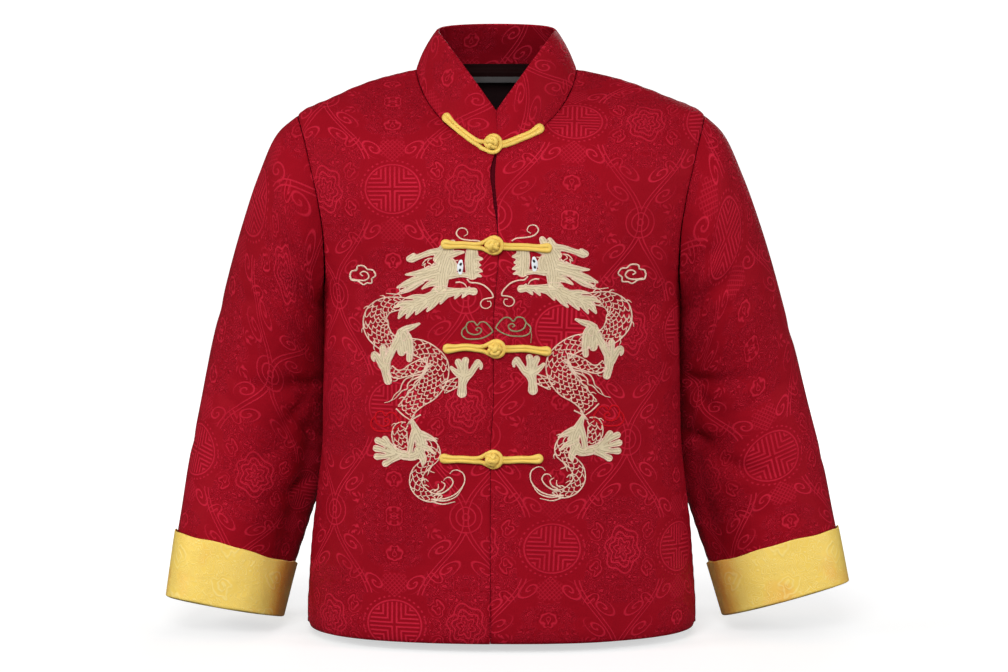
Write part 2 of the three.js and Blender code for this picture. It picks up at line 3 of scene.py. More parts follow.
import bpy
import numpy as np
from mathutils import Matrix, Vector


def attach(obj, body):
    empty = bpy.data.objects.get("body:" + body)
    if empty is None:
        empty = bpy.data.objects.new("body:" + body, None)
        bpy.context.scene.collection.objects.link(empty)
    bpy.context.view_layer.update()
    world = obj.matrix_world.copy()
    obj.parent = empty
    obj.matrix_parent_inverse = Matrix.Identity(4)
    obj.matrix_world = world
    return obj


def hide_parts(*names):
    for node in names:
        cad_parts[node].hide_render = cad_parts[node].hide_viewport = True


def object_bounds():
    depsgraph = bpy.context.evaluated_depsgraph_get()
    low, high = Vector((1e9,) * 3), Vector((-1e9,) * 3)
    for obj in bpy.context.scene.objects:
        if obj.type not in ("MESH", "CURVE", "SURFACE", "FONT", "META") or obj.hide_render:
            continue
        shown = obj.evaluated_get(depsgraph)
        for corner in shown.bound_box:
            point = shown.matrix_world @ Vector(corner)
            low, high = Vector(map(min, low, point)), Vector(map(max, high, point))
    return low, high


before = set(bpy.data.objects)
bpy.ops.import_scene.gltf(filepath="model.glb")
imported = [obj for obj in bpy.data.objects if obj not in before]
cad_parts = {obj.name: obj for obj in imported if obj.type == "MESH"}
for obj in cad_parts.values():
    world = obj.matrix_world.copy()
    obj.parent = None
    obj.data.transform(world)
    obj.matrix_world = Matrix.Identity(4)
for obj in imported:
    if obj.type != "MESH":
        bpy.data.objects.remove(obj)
cad_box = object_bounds()

# ---------------------------------------------------------------- camera, light and floor
# A camera level with the neck looks slightly down at the jacket from the front. Large soft lamps
# stand in front, at both sides, above and behind, and a pale floor just under the hem curves up
# into a backdrop. Lengths in this section are metres and angles are degrees.
LOOKS_DOWN = 5.3
camera = bpy.data.objects.new("camera", bpy.data.cameras.new("camera"))
bpy.context.collection.objects.link(camera)
camera.location = (0.0028, -2.4, 0)
camera.rotation_euler = (math.radians(90 - LOOKS_DOWN), 0, 0)
camera.data.lens = 102.68
camera.data.sensor_width = 36
bpy.context.scene.camera = camera
bpy.context.scene.view_settings.view_transform = "Standard"


def soft_lamp(name, place, aim, size, power):
    """A square area lamp at a place, turned towards another."""
    lamp = bpy.data.objects.new(name, bpy.data.lights.new(name, "AREA"))
    bpy.context.collection.objects.link(lamp)
    lamp.data.size = size
    lamp.data.energy = power
    lamp.location = place
    lamp.rotation_euler = (Vector(aim) - Vector(place)).to_track_quat("-Z", "Y").to_euler()


soft_lamp("key_lamp", (-0.3, -2.3, 0.9), (0, 0, -0.25), 1.1, 44)
soft_lamp("fill_lamp", (0.3, -2.8, 0.0), (0, 0, -0.25), 0.8, 10)
soft_lamp("left_lamp", (-2.2, -0.9, 0.4), (0, 0, -0.25), 0.9, 30)
soft_lamp("right_lamp", (2.2, -0.9, 0.4), (0, 0, -0.25), 0.9, 25)
soft_lamp("top_lamp", (0, -1.0, 2.1), (0, 0, -0.3), 1.8, 5)
soft_lamp("back_lamp", (0.4, 2.0, 0.5), (0, 0, -0.2), 1.2, 9)

world = bpy.data.worlds.new("studio")
bpy.context.scene.world = world
world.use_nodes = True
background = world.node_tree.nodes["Background"]
background.inputs["Color"].default_value = (1, 1, 1, 1)
background.inputs["Strength"].default_value = 0.09


def new_material(name):
    """A material with its node tree and its Principled shader."""
    material = bpy.data.materials.new(name)
    material.use_nodes = True
    return material, material.node_tree, material.node_tree.nodes["Principled BSDF"]


# the paper glows a little, and more towards the back, so that the backdrop stays pale
paper, paper_tree, paper_shader = new_material("studio_paper")
paper_shader.inputs["Base Color"].default_value = (0.5, 0.5, 0.5, 1)
paper_shader.inputs["Roughness"].default_value = 0.9
paper_shader.inputs["Emission Color"].default_value = (1, 1, 1, 1)
paper_place = paper_tree.nodes.new("ShaderNodeNewGeometry")
paper_split = paper_tree.nodes.new("ShaderNodeSeparateXYZ")
paper_glow = paper_tree.nodes.new("ShaderNodeMapRange")
for socket, value in (("From Min", -0.05), ("From Max", 0.6), ("To Min", 0.58), ("To Max", 0.95)):
    paper_glow.inputs[socket].default_value = value
paper_tree.links.new(paper_place.outputs["Position"], paper_split.inputs[0])
paper_tree.links.new(paper_split.outputs["Y"], paper_glow.inputs["Value"])
paper_tree.links.new(paper_glow.outputs[0], paper_shader.inputs["Emission Strength"])

FLOOR_GAP, FLOOR_FRONT, BEND_START, BEND_RADIUS = 0.006, -3.5, 2.4, 1.2
WALL_HEIGHT, PAPER_HALF_WIDTH, BEND_STEP = 4, 4, 7.5
floor_z = cad_box[0].z - FLOOR_GAP
sweep = [(FLOOR_FRONT, floor_z), (BEND_START, floor_z)]
for angle in np.radians(np.arange(BEND_STEP, 90, BEND_STEP)):
    rise = BEND_RADIUS * (1 - math.cos(angle))
    sweep.append((BEND_START + BEND_RADIUS * math.sin(angle), floor_z + rise))
sweep.append((BEND_START + BEND_RADIUS, floor_z + WALL_HEIGHT))
corners = [(x, y, z) for y, z in sweep for x in (-PAPER_HALF_WIDTH, PAPER_HALF_WIDTH)]
strips = [(2 * i, 2 * i + 1, 2 * i + 3, 2 * i + 2) for i in range(len(sweep) - 1)]
backdrop_mesh = bpy.data.meshes.new("studio_sweep")
backdrop_mesh.from_pydata(corners, [], strips)
backdrop_mesh.polygons.foreach_set("use_smooth", [True] * len(strips))
backdrop = bpy.data.objects.new("studio_sweep", backdrop_mesh)
bpy.context.collection.objects.link(backdrop)
backdrop_mesh.materials.append(paper)
backdrop.visible_glossy = False
backdrop.visible_diffuse = False

# ---------------------------------------------------------------- front panels
# Two padded fronts of red silk damask that meet edge to edge down the chest. Each is cut in one
# with the shoulder, quilted to a thin wadding, faced with a dark lining, and turned at its edges.
# From here on lengths are millimetres until a mesh is made, and angles are degrees.
CLOTH = 3
SEAM = 0.2
ROUNDNESS = 2.3
HEM_Z, UNDERARM_Z, SHOULDER_TIP_Z = -465, -190, -38
NECK_MIDDLE, NECK_HALF_WIDTH, NECK_DROP, NECK_DIP = -3.5, 67, 60, 1.3
LOW_ROWS, CHEST_ROWS, YOKE_ROWS, PANEL_COLUMNS = 116, 58, 54, 98
CUT_START_Z, CUT_STEPS = -230, 25
HEM_ROLL, HEM_ROLL_REACH = 3.4, 6

# Height, middle, half width, depth of the front and depth of the back.
TORSO = np.array([
    (0, -3.5, 67, 0, 52), (-8, -1.5, 102, 11, 59), (-21, 0, 136, 28, 67), (-38, 0.5, 169, 49, 74),
    (-60, 1, 175, 73, 81), (-80, 1, 175, 82, 86), (-109, 1, 170, 88, 90), (-140, 1, 161, 92, 93),
    (-167, 1, 153, 94, 94), (-190, 1, 149, 95, 94), (-300, 1, 150, 97, 93), (-350, 1, 155, 98, 93),
    (-383, 1, 159, 99, 94), (-465, 1, 165, 101, 97),
])
# Height and distance from the middle along the armhole, and the line where the fronts meet.
ARMHOLE = np.array([
    (-38, 169), (-60, 162), (-80, 157), (-109, 150.5), (-140, 146.5), (-167, 146), (-190, 149),
])
OPENING = np.array([
    (-60, -2.2), (-84, -6.4), (-104, -4.6), (-124, -2.6), (-152, -1.8), (-178, -4), (-200, -5.5),
    (-265, -5.8), (-305, -8), (-465, -8.6),
])


def reading(table, which, z):
    """A column of a table at heights between its rows, smooth and without overshooting."""
    place, value = -table[:, 0], table[:, which]
    rise = np.diff(value) / np.diff(place)
    before, after = rise[:-1], rise[1:]
    both = np.where(before * after > 0, before + after, 1)
    inner = np.where(before * after > 0, 2 * before * after / both, 0)
    slope = np.concatenate([rise[:1], inner, rise[-1:]])
    where = np.clip(-np.asarray(z, float), place[0], place[-1])
    i = np.clip(np.searchsorted(place, where, side="right") - 1, 0, len(place) - 2)
    span = place[i + 1] - place[i]
    t = (where - place[i]) / span
    ends = (2 * t**3 - 3 * t**2 + 1) * value[i] + (3 * t**2 - 2 * t**3) * value[i + 1]
    return ends + span * ((t**3 - 2 * t**2 + t) * slope[i] + (t**3 - t**2) * slope[i + 1])


def torso(turn, z):
    """The torso's smooth surface. Turn is 0 at the middle front, 90 at +X and 180 behind."""
    s = np.sin(np.radians(turn))
    q = (1 - np.minimum(1, np.abs(s)) ** ROUNDNESS) ** (1 / ROUNDNESS)
    is_front = np.cos(np.radians(turn)) > 0
    front, back = -reading(TORSO, 3, z) * q - SEAM / 2, reading(TORSO, 4, z) * q + SEAM / 2
    x = reading(TORSO, 1, z) + reading(TORSO, 2, z) * s
    return np.stack([x, np.where(is_front, front, back), z + 0 * x], axis=-1)


def turn_at(x, z):
    """The turn of the front's surface at a width and a height."""
    share = (x - reading(TORSO, 1, z)) / reading(TORSO, 2, z)
    return np.degrees(np.arcsin(np.clip(share, -1, 1)))


def neckline(angle):
    """Width and height of the neckline at an angle round the neck, 0 in front."""
    x = NECK_MIDDLE + NECK_HALF_WIDTH * np.sin(np.radians(angle))
    return x, -NECK_DROP * np.maximum(np.cos(np.radians(angle)), 0) ** NECK_DIP


def ajar(z):
    """How far a front's edge stands back from the line where the two meet."""
    return 0.35 + 1.9 * np.exp(-(((z + 82) / 15) ** 2)) + 1.2 * np.exp(-(((z + 108) / 14) ** 2))


def armhole_turn(around):
    """Turn and height of the armhole's seam; around is 0 on the shoulder and 180 below it."""
    z = UNDERARM_Z + (SHOULDER_TIP_Z - UNDERARM_Z) * (1 + np.cos(np.radians(around))) / 2
    x = reading(ARMHOLE, 1, z) + reading(TORSO, 1, z)
    return np.minimum(turn_at(x, z), 89.99), z


def panel_places(side, across):
    """Turns and heights of a front, row by row from the hem to the shoulder. Each row runs from
    the opening or neckline to the side seam or armhole."""
    low = np.linspace(HEM_Z, UNDERARM_Z, LOW_ROWS)
    share_mid = np.linspace(0, 1, CHEST_ROWS)[1:]
    share_top = np.linspace(0, 1, YOKE_ROWS)[1:]
    neck_z = -NECK_DROP
    in_z = np.concatenate([low, UNDERARM_Z + (neck_z - UNDERARM_Z) * share_mid])
    armhole, armhole_z = armhole_turn(np.concatenate([180 - 90 * share_mid, 90 - 90 * share_top]))
    out_z = np.concatenate([low, armhole_z])
    out_turn = np.concatenate([0 * low + 90, armhole])
    edge = turn_at(reading(OPENING, 1, in_z) + side * ajar(in_z), in_z)
    first = (reading(OPENING, 1, neck_z) + side * ajar(neck_z) - NECK_MIDDLE) / NECK_HALF_WIDTH
    first = np.degrees(np.arcsin(first))
    x, z = neckline(first + (side * 90 - first) * share_top)
    in_turn = np.concatenate([edge, turn_at(x, z)])
    in_z = np.concatenate([in_z, z])
    t = np.linspace(0, 1, across)
    turn = in_turn[:, None] + (side * out_turn - in_turn)[:, None] * t
    return turn, in_z[:, None] + (out_z - in_z)[:, None] * t


def outward(grid):
    """Unit normals of a grid of points, away from the inside of the garment."""
    normal = np.cross(np.gradient(grid, axis=1), np.gradient(grid, axis=0))
    normal /= np.maximum(np.linalg.norm(normal, axis=-1, keepdims=True), 1e-9)
    middle = np.array([0, 0, grid[..., 2].mean()])
    away = np.sum((grid - middle) * normal, axis=-1).mean()
    return normal if away > 0 else -normal


def flat_places(turn, z):
    """Where the cloth lay before it was sewn, as lengths along the surface."""
    parts = np.linspace(0, 1, CUT_STEPS)
    round_it = [torso(turn * p, z) for p in parts]
    u = sum(np.linalg.norm(b - a, axis=-1) for a, b in zip(round_it, round_it[1:]))
    up_it = [torso(turn, CUT_START_Z + (z - CUT_START_Z) * p) for p in parts]
    v = sum(np.linalg.norm(b - a, axis=-1) for a, b in zip(up_it, up_it[1:]))
    return np.stack([np.sign(turn) * u, np.sign(z - CUT_START_Z) * v], axis=-1)


def creases(rows, x, z):
    """Folds in the cloth. Each row is a fold's two ends, its half width and its depth; a
    fold fades towards both ends and is pressed in where its depth is positive."""
    total = 0 * x
    for x1, z1, x2, z2, width, depth in rows:
        length = math.hypot(x2 - x1, z2 - z1)
        along = ((x - x1) * (x2 - x1) + (z - z1) * (z2 - z1)) / length**2
        beside = ((x - x1) * (z2 - z1) - (z - z1) * (x2 - x1)) / length
        bend = beside - 0.06 * length * np.sin(math.pi * np.clip(along, 0, 1))
        fade = np.exp(-((2 * (along - 0.5)) ** 4))
        total = total + depth * fade * np.exp(-((bend / width) ** 2))
    return total


def seam_edge(distance, along, depth=0.55, reach=2.0, phase=0.0):
    """How far cloth dips and puckers beside a seam."""
    pucker = 0.3 * np.sin(along / 1.9 + phase + 1.7 * np.sin(along / 13)) * np.exp(-distance / 9)
    return depth * np.exp(-((distance / reach) ** 2)) + pucker * (distance > 0)


def new_piece(name, points, faces, cut, materials, kinds):
    """A piece from its points, its faces, each face corner's flat place and its materials."""
    mesh = bpy.data.meshes.new(name)
    mesh.from_pydata((points * 0.001).tolist(), [], faces)
    mesh.uv_layers.new(name="cut").data.foreach_set("uv", cut.ravel() * 0.001)
    mesh.polygons.foreach_set("use_smooth", np.ones(len(mesh.polygons), bool))
    for material in materials:
        mesh.materials.append(material)
    mesh.polygons.foreach_set("material_index", kinds)
    mesh.update()
    piece = bpy.data.objects.new(name, mesh)
    bpy.context.collection.objects.link(piece)
    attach(piece, "root")
    return piece


def cloth_mesh(name, outer, inner, flat, materials, tube=False, bulge=0.35):
    """A turned piece of cloth between two grids of points, with a rounded rim. The flat places
    become its UV map, in metres; a tube's have one column more than its points."""
    rows, columns = outer.shape[:2]
    count = rows * columns
    spans = columns if tube else columns - 1
    i, j = np.meshgrid(np.arange(rows - 1), np.arange(spans), indexing="ij")
    i, j = i.ravel(), j.ravel()
    corner_rows, corner_columns = (i, i, i + 1, i + 1), (j, j + 1, j + 1, j)
    quads = np.stack([r * columns + c % columns for r, c in zip(corner_rows, corner_columns)], 1)
    uv = np.stack([flat[r, c] for r, c in zip(corner_rows, corner_columns)], 1)
    if tube:
        loops = [[(0, c) for c in range(columns)], [(rows - 1, c) for c in range(columns)][::-1]]
    else:
        loop = [(0, c) for c in range(columns)] + [(r, columns - 1) for r in range(1, rows)]
        loop += [(rows - 1, c) for c in range(columns - 2, -1, -1)]
        loop += [(r, 0) for r in range(rows - 2, 0, -1)]
        loops = [loop]
    points = [outer.reshape(-1, 3), inner.reshape(-1, 3)]
    faces, face_uv, face_material = [quads, quads[:, ::-1] + count], [uv, uv[:, ::-1]], [0, 1]
    start = 2 * count
    for loop in loops:
        r, c = np.array(loop).T
        inside_r = np.clip(r, 1, rows - 2)
        inside_c = c if tube else np.clip(c, 1, columns - 2)
        out, within = outer[r, c], inner[r, c]
        side = out - outer[inside_r, inside_c]
        side /= np.linalg.norm(side, axis=1, keepdims=True)
        rim = [r * columns + c]
        for k in (1, 2, 3):
            middle = out + (within - out) * k / 4 + side * bulge * math.sin(math.pi * k / 4)
            points.append(middle)
            rim.append(start + np.arange(len(loop)))
            start += len(loop)
        rim.append(r * columns + c + count)
        place, after = flat[r, c], flat[np.roll(r, -1), np.roll(c, -1)]
        if tube:
            after = flat[r, c + (1 if c[1] > c[0] else -1)]
        for a, b in zip(rim, rim[1:]):
            faces.append(np.stack([np.roll(a, -1), a, b, np.roll(b, -1)], 1))
            face_uv.append(np.stack([after, place, place, after], 1))
            face_material.append(0)
    kinds = np.concatenate([np.full(len(f), m) for f, m in zip(faces, face_material)])
    kinds = kinds * (len(materials) > 1)
    points, faces, face_uv = (np.concatenate(v) for v in (points, faces, face_uv))
    a, b, c, d = (points[faces[:, k]] for k in range(4))
    volume = np.sum(a * np.cross(b, c)) + np.sum(a * np.cross(c, d))
    if volume < 0:
        faces, face_uv = faces[:, ::-1], face_uv[:, ::-1]
    return new_piece(name, points, faces.tolist(), face_uv, materials, kinds)


def calculator(tree):
    """Gives a function that adds one Math node, with its inputs linked or filled in."""

    def work(operation, *values, clamp=False):
        node = tree.nodes.new("ShaderNodeMath")
        node.operation = operation
        node.use_clamp = clamp
        for socket, value in zip(node.inputs, values):
            if isinstance(value, bpy.types.NodeSocket):
                tree.links.new(value, socket)
            else:
                socket.default_value = value
        return node.outputs[0]

    return work


def split_up(tree, place):
    """The two flat coordinates of a place."""
    split = tree.nodes.new("ShaderNodeSeparateXYZ")
    tree.links.new(place, split.inputs[0])
    return split.outputs["X"], split.outputs["Y"]


def joined(tree, x, y):
    """A flat place from its two coordinates."""
    join = tree.nodes.new("ShaderNodeCombineXYZ")
    tree.links.new(x, join.inputs["X"])
    tree.links.new(y, join.inputs["Y"])
    return join.outputs[0]


def cloudy(tree, scale, detail=3, vector=None):
    """A soft cloudy value that follows the piece, or another place."""
    node = tree.nodes.new("ShaderNodeTexNoise")
    node.inputs["Scale"].default_value = scale
    node.inputs["Detail"].default_value = detail
    if vector is None:
        vector = tree.nodes.new("ShaderNodeTexCoord").outputs["Object"]
    tree.links.new(vector, node.inputs["Vector"])
    return node.outputs["Fac"]


def cut_place(tree):
    """Places on the cloth as it was cut."""
    cut = tree.nodes.new("ShaderNodeUVMap")
    cut.uv_map = "cut"
    return cut.outputs[0]


def placed_group(tree, group, place, **values):
    """A shader group's outputs in a material, its place linked and its other inputs filled in."""
    node = tree.nodes.new("ShaderNodeGroup")
    node.node_tree = group
    for socket, value in values.items():
        node.inputs[socket].default_value = value
    tree.links.new(place, node.inputs["Cut"])
    return node.outputs


def new_group(name, inputs, outputs):
    """An empty shader node group with named sockets, and its two end nodes."""
    group = bpy.data.node_groups.new(name, "ShaderNodeTree")
    for socket, kind in inputs:
        group.interface.new_socket(socket, in_out="INPUT", socket_type=kind)
    for socket, kind in outputs:
        group.interface.new_socket(socket, in_out="OUTPUT", socket_type=kind)
    return group, group.nodes.new("NodeGroupInput"), group.nodes.new("NodeGroupOutput")


def scroll_group():
    """Woven scrolls: spirals on a loose half-drop grid, and leafy lines between them."""
    group, given, result = new_group(
        "scroll_figure",
        [("Cut", "NodeSocketVector"), ("Fineness", "NodeSocketFloat")],
        [("Figure", "NodeSocketFloat"), ("Weave", "NodeSocketFloat")],
    )
    work = calculator(group)
    scale = work("MULTIPLY", given.outputs["Fineness"], 1000)
    u, v = (work("MULTIPLY", part, scale) for part in split_up(group, given.outputs["Cut"]))
    field = cloudy(group, 0.11, 1, joined(group, u, v))
    # spirals, one to each cell of the grid
    half_wide, half_high, pitch, rib_pitch = 21, 17, 4.6, 0.9
    warp = work("MULTIPLY_ADD", field, 14, -7)
    warped = work("ADD", u, warp)
    x = work("WRAP", warped, half_wide, -half_wide)
    column = work("FLOOR", work("DIVIDE", work("ADD", warped, half_wide), 2 * half_wide))
    shifted = work("MULTIPLY_ADD", column, half_high, work("SUBTRACT", v, warp))
    y = work("WRAP", shifted, half_high, -half_high)
    reach = work("SQRT", work("ADD", work("MULTIPLY", x, x), work("MULTIPLY", y, y)))
    turns = work("MULTIPLY", reach, 1 / pitch)
    spiral = work("FRACT", work("MULTIPLY_ADD", work("ARCTAN2", y, x), 1 / math.tau, turns))
    off = work("ABSOLUTE", work("SUBTRACT", spiral, 0.5))
    curl = work("MULTIPLY_ADD", off, -5, 1.35, clamp=True)
    curl = work("MULTIPLY", curl, work("MULTIPLY_ADD", reach, -0.5, 5.5, clamp=True))
    # leafy lines along the contours of the cloudy field, away from the spirals
    contour = work("PINGPONG", work("MULTIPLY", field, 7), 0.5)
    off = work("ABSOLUTE", work("SUBTRACT", contour, 0.25))
    leaf = work("MULTIPLY_ADD", off, -12, 1.3, clamp=True)
    leaf = work("MULTIPLY", leaf, work("MULTIPLY_ADD", reach, 0.6, -6, clamp=True))
    slant = work("SUBTRACT", v, work("MULTIPLY", u, 0.3))
    rib = work("SINE", work("MULTIPLY", slant, math.tau / rib_pitch))
    group.links.new(work("MAXIMUM", curl, leaf), result.inputs["Figure"])
    group.links.new(rib, result.inputs["Weave"])
    return group


SCROLLS = scroll_group()


def damask_group():
    """The woven figure: round fret medallions on an ogee lattice of double lines, with scrolls
    where the lattice meets, rosettes beside the medallions and sprigs between them."""
    wide, high, rib_pitch = 120, 178, 0.8
    group, given, result = new_group(
        "damask_figure",
        [("Cut", "NodeSocketVector")],
        [("Figure", "NodeSocketFloat"), ("Dark", "NodeSocketFloat"), ("Weave", "NodeSocketFloat")],
    )
    work = calculator(group)

    def line(value, centre, half, soft=0.45):
        off = work("ABSOLUTE", work("SUBTRACT", value, centre))
        return work("MULTIPLY_ADD", off, -1 / soft, half / soft + 0.5, clamp=True)

    def inside(value, limit, soft=0.06):
        return work("MULTIPLY_ADD", value, -1 / soft, limit / soft + 0.5, clamp=True)

    def distance(x, y, width, height):
        squares = work("POWER", work("MULTIPLY", x, 1 / width), 2)
        rest = work("POWER", work("MULTIPLY", y, 1 / height), 2)
        return work("SQRT", work("ADD", squares, rest))

    u, v = (work("MULTIPLY", part, 1000) for part in split_up(group, given.outputs["Cut"]))
    x, y = work("WRAP", u, wide / 2, -wide / 2), work("WRAP", v, high / 2, -high / 2)
    half_x = work("WRAP", work("ADD", u, wide / 2), wide / 2, -wide / 2)
    half_y = work("WRAP", work("ADD", v, high / 2), high / 2, -high / 2)
    ax, ay = work("ABSOLUTE", x), work("ABSOLUTE", y)
    # medallion: a ring round nested frets, with beads outside it
    r = distance(x, y, 23, 20)
    fret = work("PINGPONG", work("MINIMUM", ax, work("MULTIPLY", ay, 1.1)), 1.9)
    fret = work("MULTIPLY", work("MULTIPLY_ADD", fret, 1.6, -1.3, clamp=True), inside(r, 0.93))
    medal = work("MAXIMUM", fret, line(r, 1, 0.03, 0.03))
    turn = work("FRACT", work("MULTIPLY", work("ARCTAN2", y, x), 34 / math.tau))
    beads = work("MULTIPLY", line(turn, 0.5, 0.2, 0.2), line(r, 1.17, 0.03, 0.04))
    medal = work("MAXIMUM", medal, beads)
    # lattice: double lines that swing out from the medallions and meet between them
    swing = group.nodes.new("ShaderNodeMapRange")
    swing.interpolation_type = "SMOOTHSTEP"
    group.links.new(ay, swing.inputs["Value"])
    for name, value in (("From Min", 20), ("From Max", 86), ("To Min", 21), ("To Max", wide / 2)):
        swing.inputs[name].default_value = value
    off = work("ABSOLUTE", work("SUBTRACT", ax, swing.outputs[0]))
    lattice = work("MULTIPLY", line(off, 1.9, 0.6), work("GREATER_THAN", ay, 25))
    # scrolls where four lattice lines meet
    reach = distance(half_x, half_y, 1, 1)
    bearing = work("ARCTAN2", half_y, work("ABSOLUTE", half_x))
    spiral = work("MULTIPLY_ADD", bearing, -1 / math.tau, work("MULTIPLY", reach, 1 / 5.2))
    scroll = work("MULTIPLY", line(work("FRACT", spiral), 0.5, 0.11, 0.12), inside(reach, 14, 1.5))
    # hooked scrolls on both sides of the lattice lines
    hooks = []
    for offset, level, sign in ((10, 47, 1), (-10, 64, -1), (-9, 34, 1)):
        hook_x = work("SUBTRACT", work("SUBTRACT", ax, swing.outputs[0]), offset)
        hook_y = work("SUBTRACT", ay, level)
        coil = work("ARCTAN2", hook_y, work("MULTIPLY", hook_x, sign))
        hook_reach = distance(hook_x, hook_y, 1, 1)
        coil = work("MULTIPLY_ADD", coil, 1 / math.tau, work("MULTIPLY", hook_reach, 1 / 5.4))
        coil = line(work("FRACT", coil), 0.5, 0.14, 0.12)
        hooks.append(work("MULTIPLY", coil, inside(hook_reach, 8.5, 1.2)))
    for hook in hooks:
        scroll = work("MAXIMUM", scroll, hook)
    # rosettes beside the medallions
    far = distance(half_x, y, 1, 1.25)
    petals = work("SINE", work("MULTIPLY", work("ARCTAN2", y, half_x), 6))
    rings = work("PINGPONG", work("MULTIPLY_ADD", petals, 1.5, far), 2.1)
    rosette = work("MULTIPLY_ADD", rings, 1.5, -1.7, clamp=True)
    rosette = work("MULTIPLY", rosette, inside(far, 17, 2))
    # woven knots above and below the medallions
    knot_y = work("SUBTRACT", ay, 34)
    slants = []
    for sign in (1, -1):
        slant = work("PINGPONG", work("MULTIPLY_ADD", knot_y, sign, x), 1.9)
        slants.append(work("MULTIPLY_ADD", slant, -1.2, 1.1, clamp=True))
    knot_height = work("ABSOLUTE", work("MULTIPLY", knot_y, 1 / 10))
    knot_shape = work("ADD", knot_height, work("MULTIPLY", ax, 1 / 17))
    # flowers, clouds and sprigs between, from the contours of a smooth cloudy field
    mirrored = joined(group, ax, ay)
    shrink = group.nodes.new("ShaderNodeVectorMath")
    shrink.operation = "SCALE"
    shrink.inputs["Scale"].default_value = 0.001
    group.links.new(mirrored, shrink.inputs[0])
    scrolls = placed_group(group, SCROLLS, shrink.outputs[0], Fineness=1.15)
    field, rim = cloudy(group, 0.16, 1, mirrored), cloudy(group, 0.09, 2, mirrored)
    contour = work("PINGPONG", work("MULTIPLY", field, 5), 0.5)
    near = distance(x, half_y, 36, 24)
    for motif in (
        distance(x, work("SUBTRACT", ay, 56), 22, 9), distance(half_x, y, 26, 21),
        distance(work("SUBTRACT", ax, 44), work("SUBTRACT", ay, 27), 15, 17),
    ):
        near = work("MINIMUM", near, motif)
    near = work("MULTIPLY_ADD", rim, 2.2, work("SUBTRACT", near, 1.1))
    sprig = work("MULTIPLY", scrolls["Figure"], inside(near, 1.2, 0.2))
    dark_sprig = work("MULTIPLY", line(contour, 0.2, 0.06, 0.1), inside(near, 1.1, 0.2))
    warped = work("MULTIPLY_ADD", rim, 1.6, work("SUBTRACT", knot_shape, 0.8))
    knot = work("MULTIPLY", inside(warped, 1, 0.15), 0.7)
    knot = work("MULTIPLY", work("MAXIMUM", *slants), knot)
    figure = work("MAXIMUM", work("MAXIMUM", medal, lattice), work("MAXIMUM", scroll, rosette))
    figure = work("MAXIMUM", figure, work("MAXIMUM", sprig, knot))
    # fine ribs of the satin ground
    slant = work("ADD", u, work("MULTIPLY", v, 0.5))
    rib = work("SINE", work("MULTIPLY", slant, math.tau / rib_pitch))
    group.links.new(figure, result.inputs["Figure"])
    dark_sprig = work("MULTIPLY", dark_sprig, work("SUBTRACT", 1, figure))
    group.links.new(dark_sprig, result.inputs["Dark"])
    group.links.new(rib, result.inputs["Weave"])
    return group


def mixed(tree, share, first, second):
    """A colour between two, each a socket or three numbers."""
    node = tree.nodes.new("ShaderNodeMix")
    node.data_type = "RGBA"
    tree.links.new(share, node.inputs["Factor"])
    for socket, colour in zip((node.inputs[6], node.inputs[7]), (first, second)):
        if isinstance(colour, bpy.types.NodeSocket):
            tree.links.new(colour, socket)
        else:
            socket.default_value = (*colour, 1)
    return node.outputs[2]


def bumped(tree, height, distance, strength, normal=None):
    """A normal raised by a height over another normal."""
    node = tree.nodes.new("ShaderNodeBump")
    node.inputs["Distance"].default_value = distance
    node.inputs["Strength"].default_value = strength
    tree.links.new(height, node.inputs["Height"])
    if normal is not None:
        tree.links.new(normal, node.inputs["Normal"])
    return node.outputs["Normal"]


DAMASK = damask_group()


def damask(name, ground, figure, shade):
    """Red silk damask: a satin ground with a matter, lighter figure woven into it."""
    material, tree, cloth = new_material(name)
    work = calculator(tree)
    weave = placed_group(tree, DAMASK, cut_place(tree))
    clouds = cloudy(tree, 9)
    base = mixed(tree, clouds, ground, shade)
    darkest = tuple(0.55 * c for c in shade)
    base = mixed(tree, work("MULTIPLY", weave["Dark"], 0.6), base, darkest)
    worn = work("MULTIPLY_ADD", cloudy(tree, 26), 1.5, 0.05, clamp=True)
    share = work("MULTIPLY", weave["Figure"], worn)
    tree.links.new(mixed(tree, share, base, figure), cloth.inputs["Base Color"])
    gloss = work("MULTIPLY_ADD", weave["Figure"], 0.14, 0.42)
    tree.links.new(work("MULTIPLY_ADD", clouds, 0.08, gloss), cloth.inputs["Roughness"])
    raised = work("MULTIPLY_ADD", weave["Weave"], 0.06, weave["Figure"])
    creased = bumped(tree, cloudy(tree, 16, 4), 0.009, 0.35)
    creased = bumped(tree, cloudy(tree, 48, 4), 0.003, 0.4, creased)
    tree.links.new(bumped(tree, raised, 0.0004, 0.7, creased), cloth.inputs["Normal"])
    cloth.inputs["IOR"].default_value = 1.15
    cloth.inputs["Specular Tint"].default_value = (1, 0.04, 0.07, 1)
    return material


def lining_cloth(name, colour, light, sheen=0.0):
    """Thin plain lining with a faint twill."""
    material, tree, cloth = new_material(name)
    work = calculator(tree)
    twill_pitch = 0.0014
    slant = work("ADD", *split_up(tree, cut_place(tree)))
    twill = work("SINE", work("MULTIPLY", slant, math.tau / twill_pitch))
    share = work("MULTIPLY_ADD", twill, 0.12, cloudy(tree, 30), clamp=True)
    tree.links.new(mixed(tree, share, colour, light), cloth.inputs["Base Color"])
    tree.links.new(work("MULTIPLY_ADD", share, 0.2, 0.5), cloth.inputs["Roughness"])
    tree.links.new(bumped(tree, twill, 0.0002, 0.3), cloth.inputs["Normal"])
    cloth.inputs["Sheen Weight"].default_value = sheen
    cloth.inputs["IOR"].default_value = 1.12
    return material


red_silk = damask(
    "red_damask", (0.29, 0.0048, 0.0128), (0.47, 0.014, 0.034), (0.22, 0.0036, 0.009)
)
dark_lining = lining_cloth("dark_lining", (0.009, 0.0038, 0.0043), (0.02, 0.0092, 0.0102), 0.03)

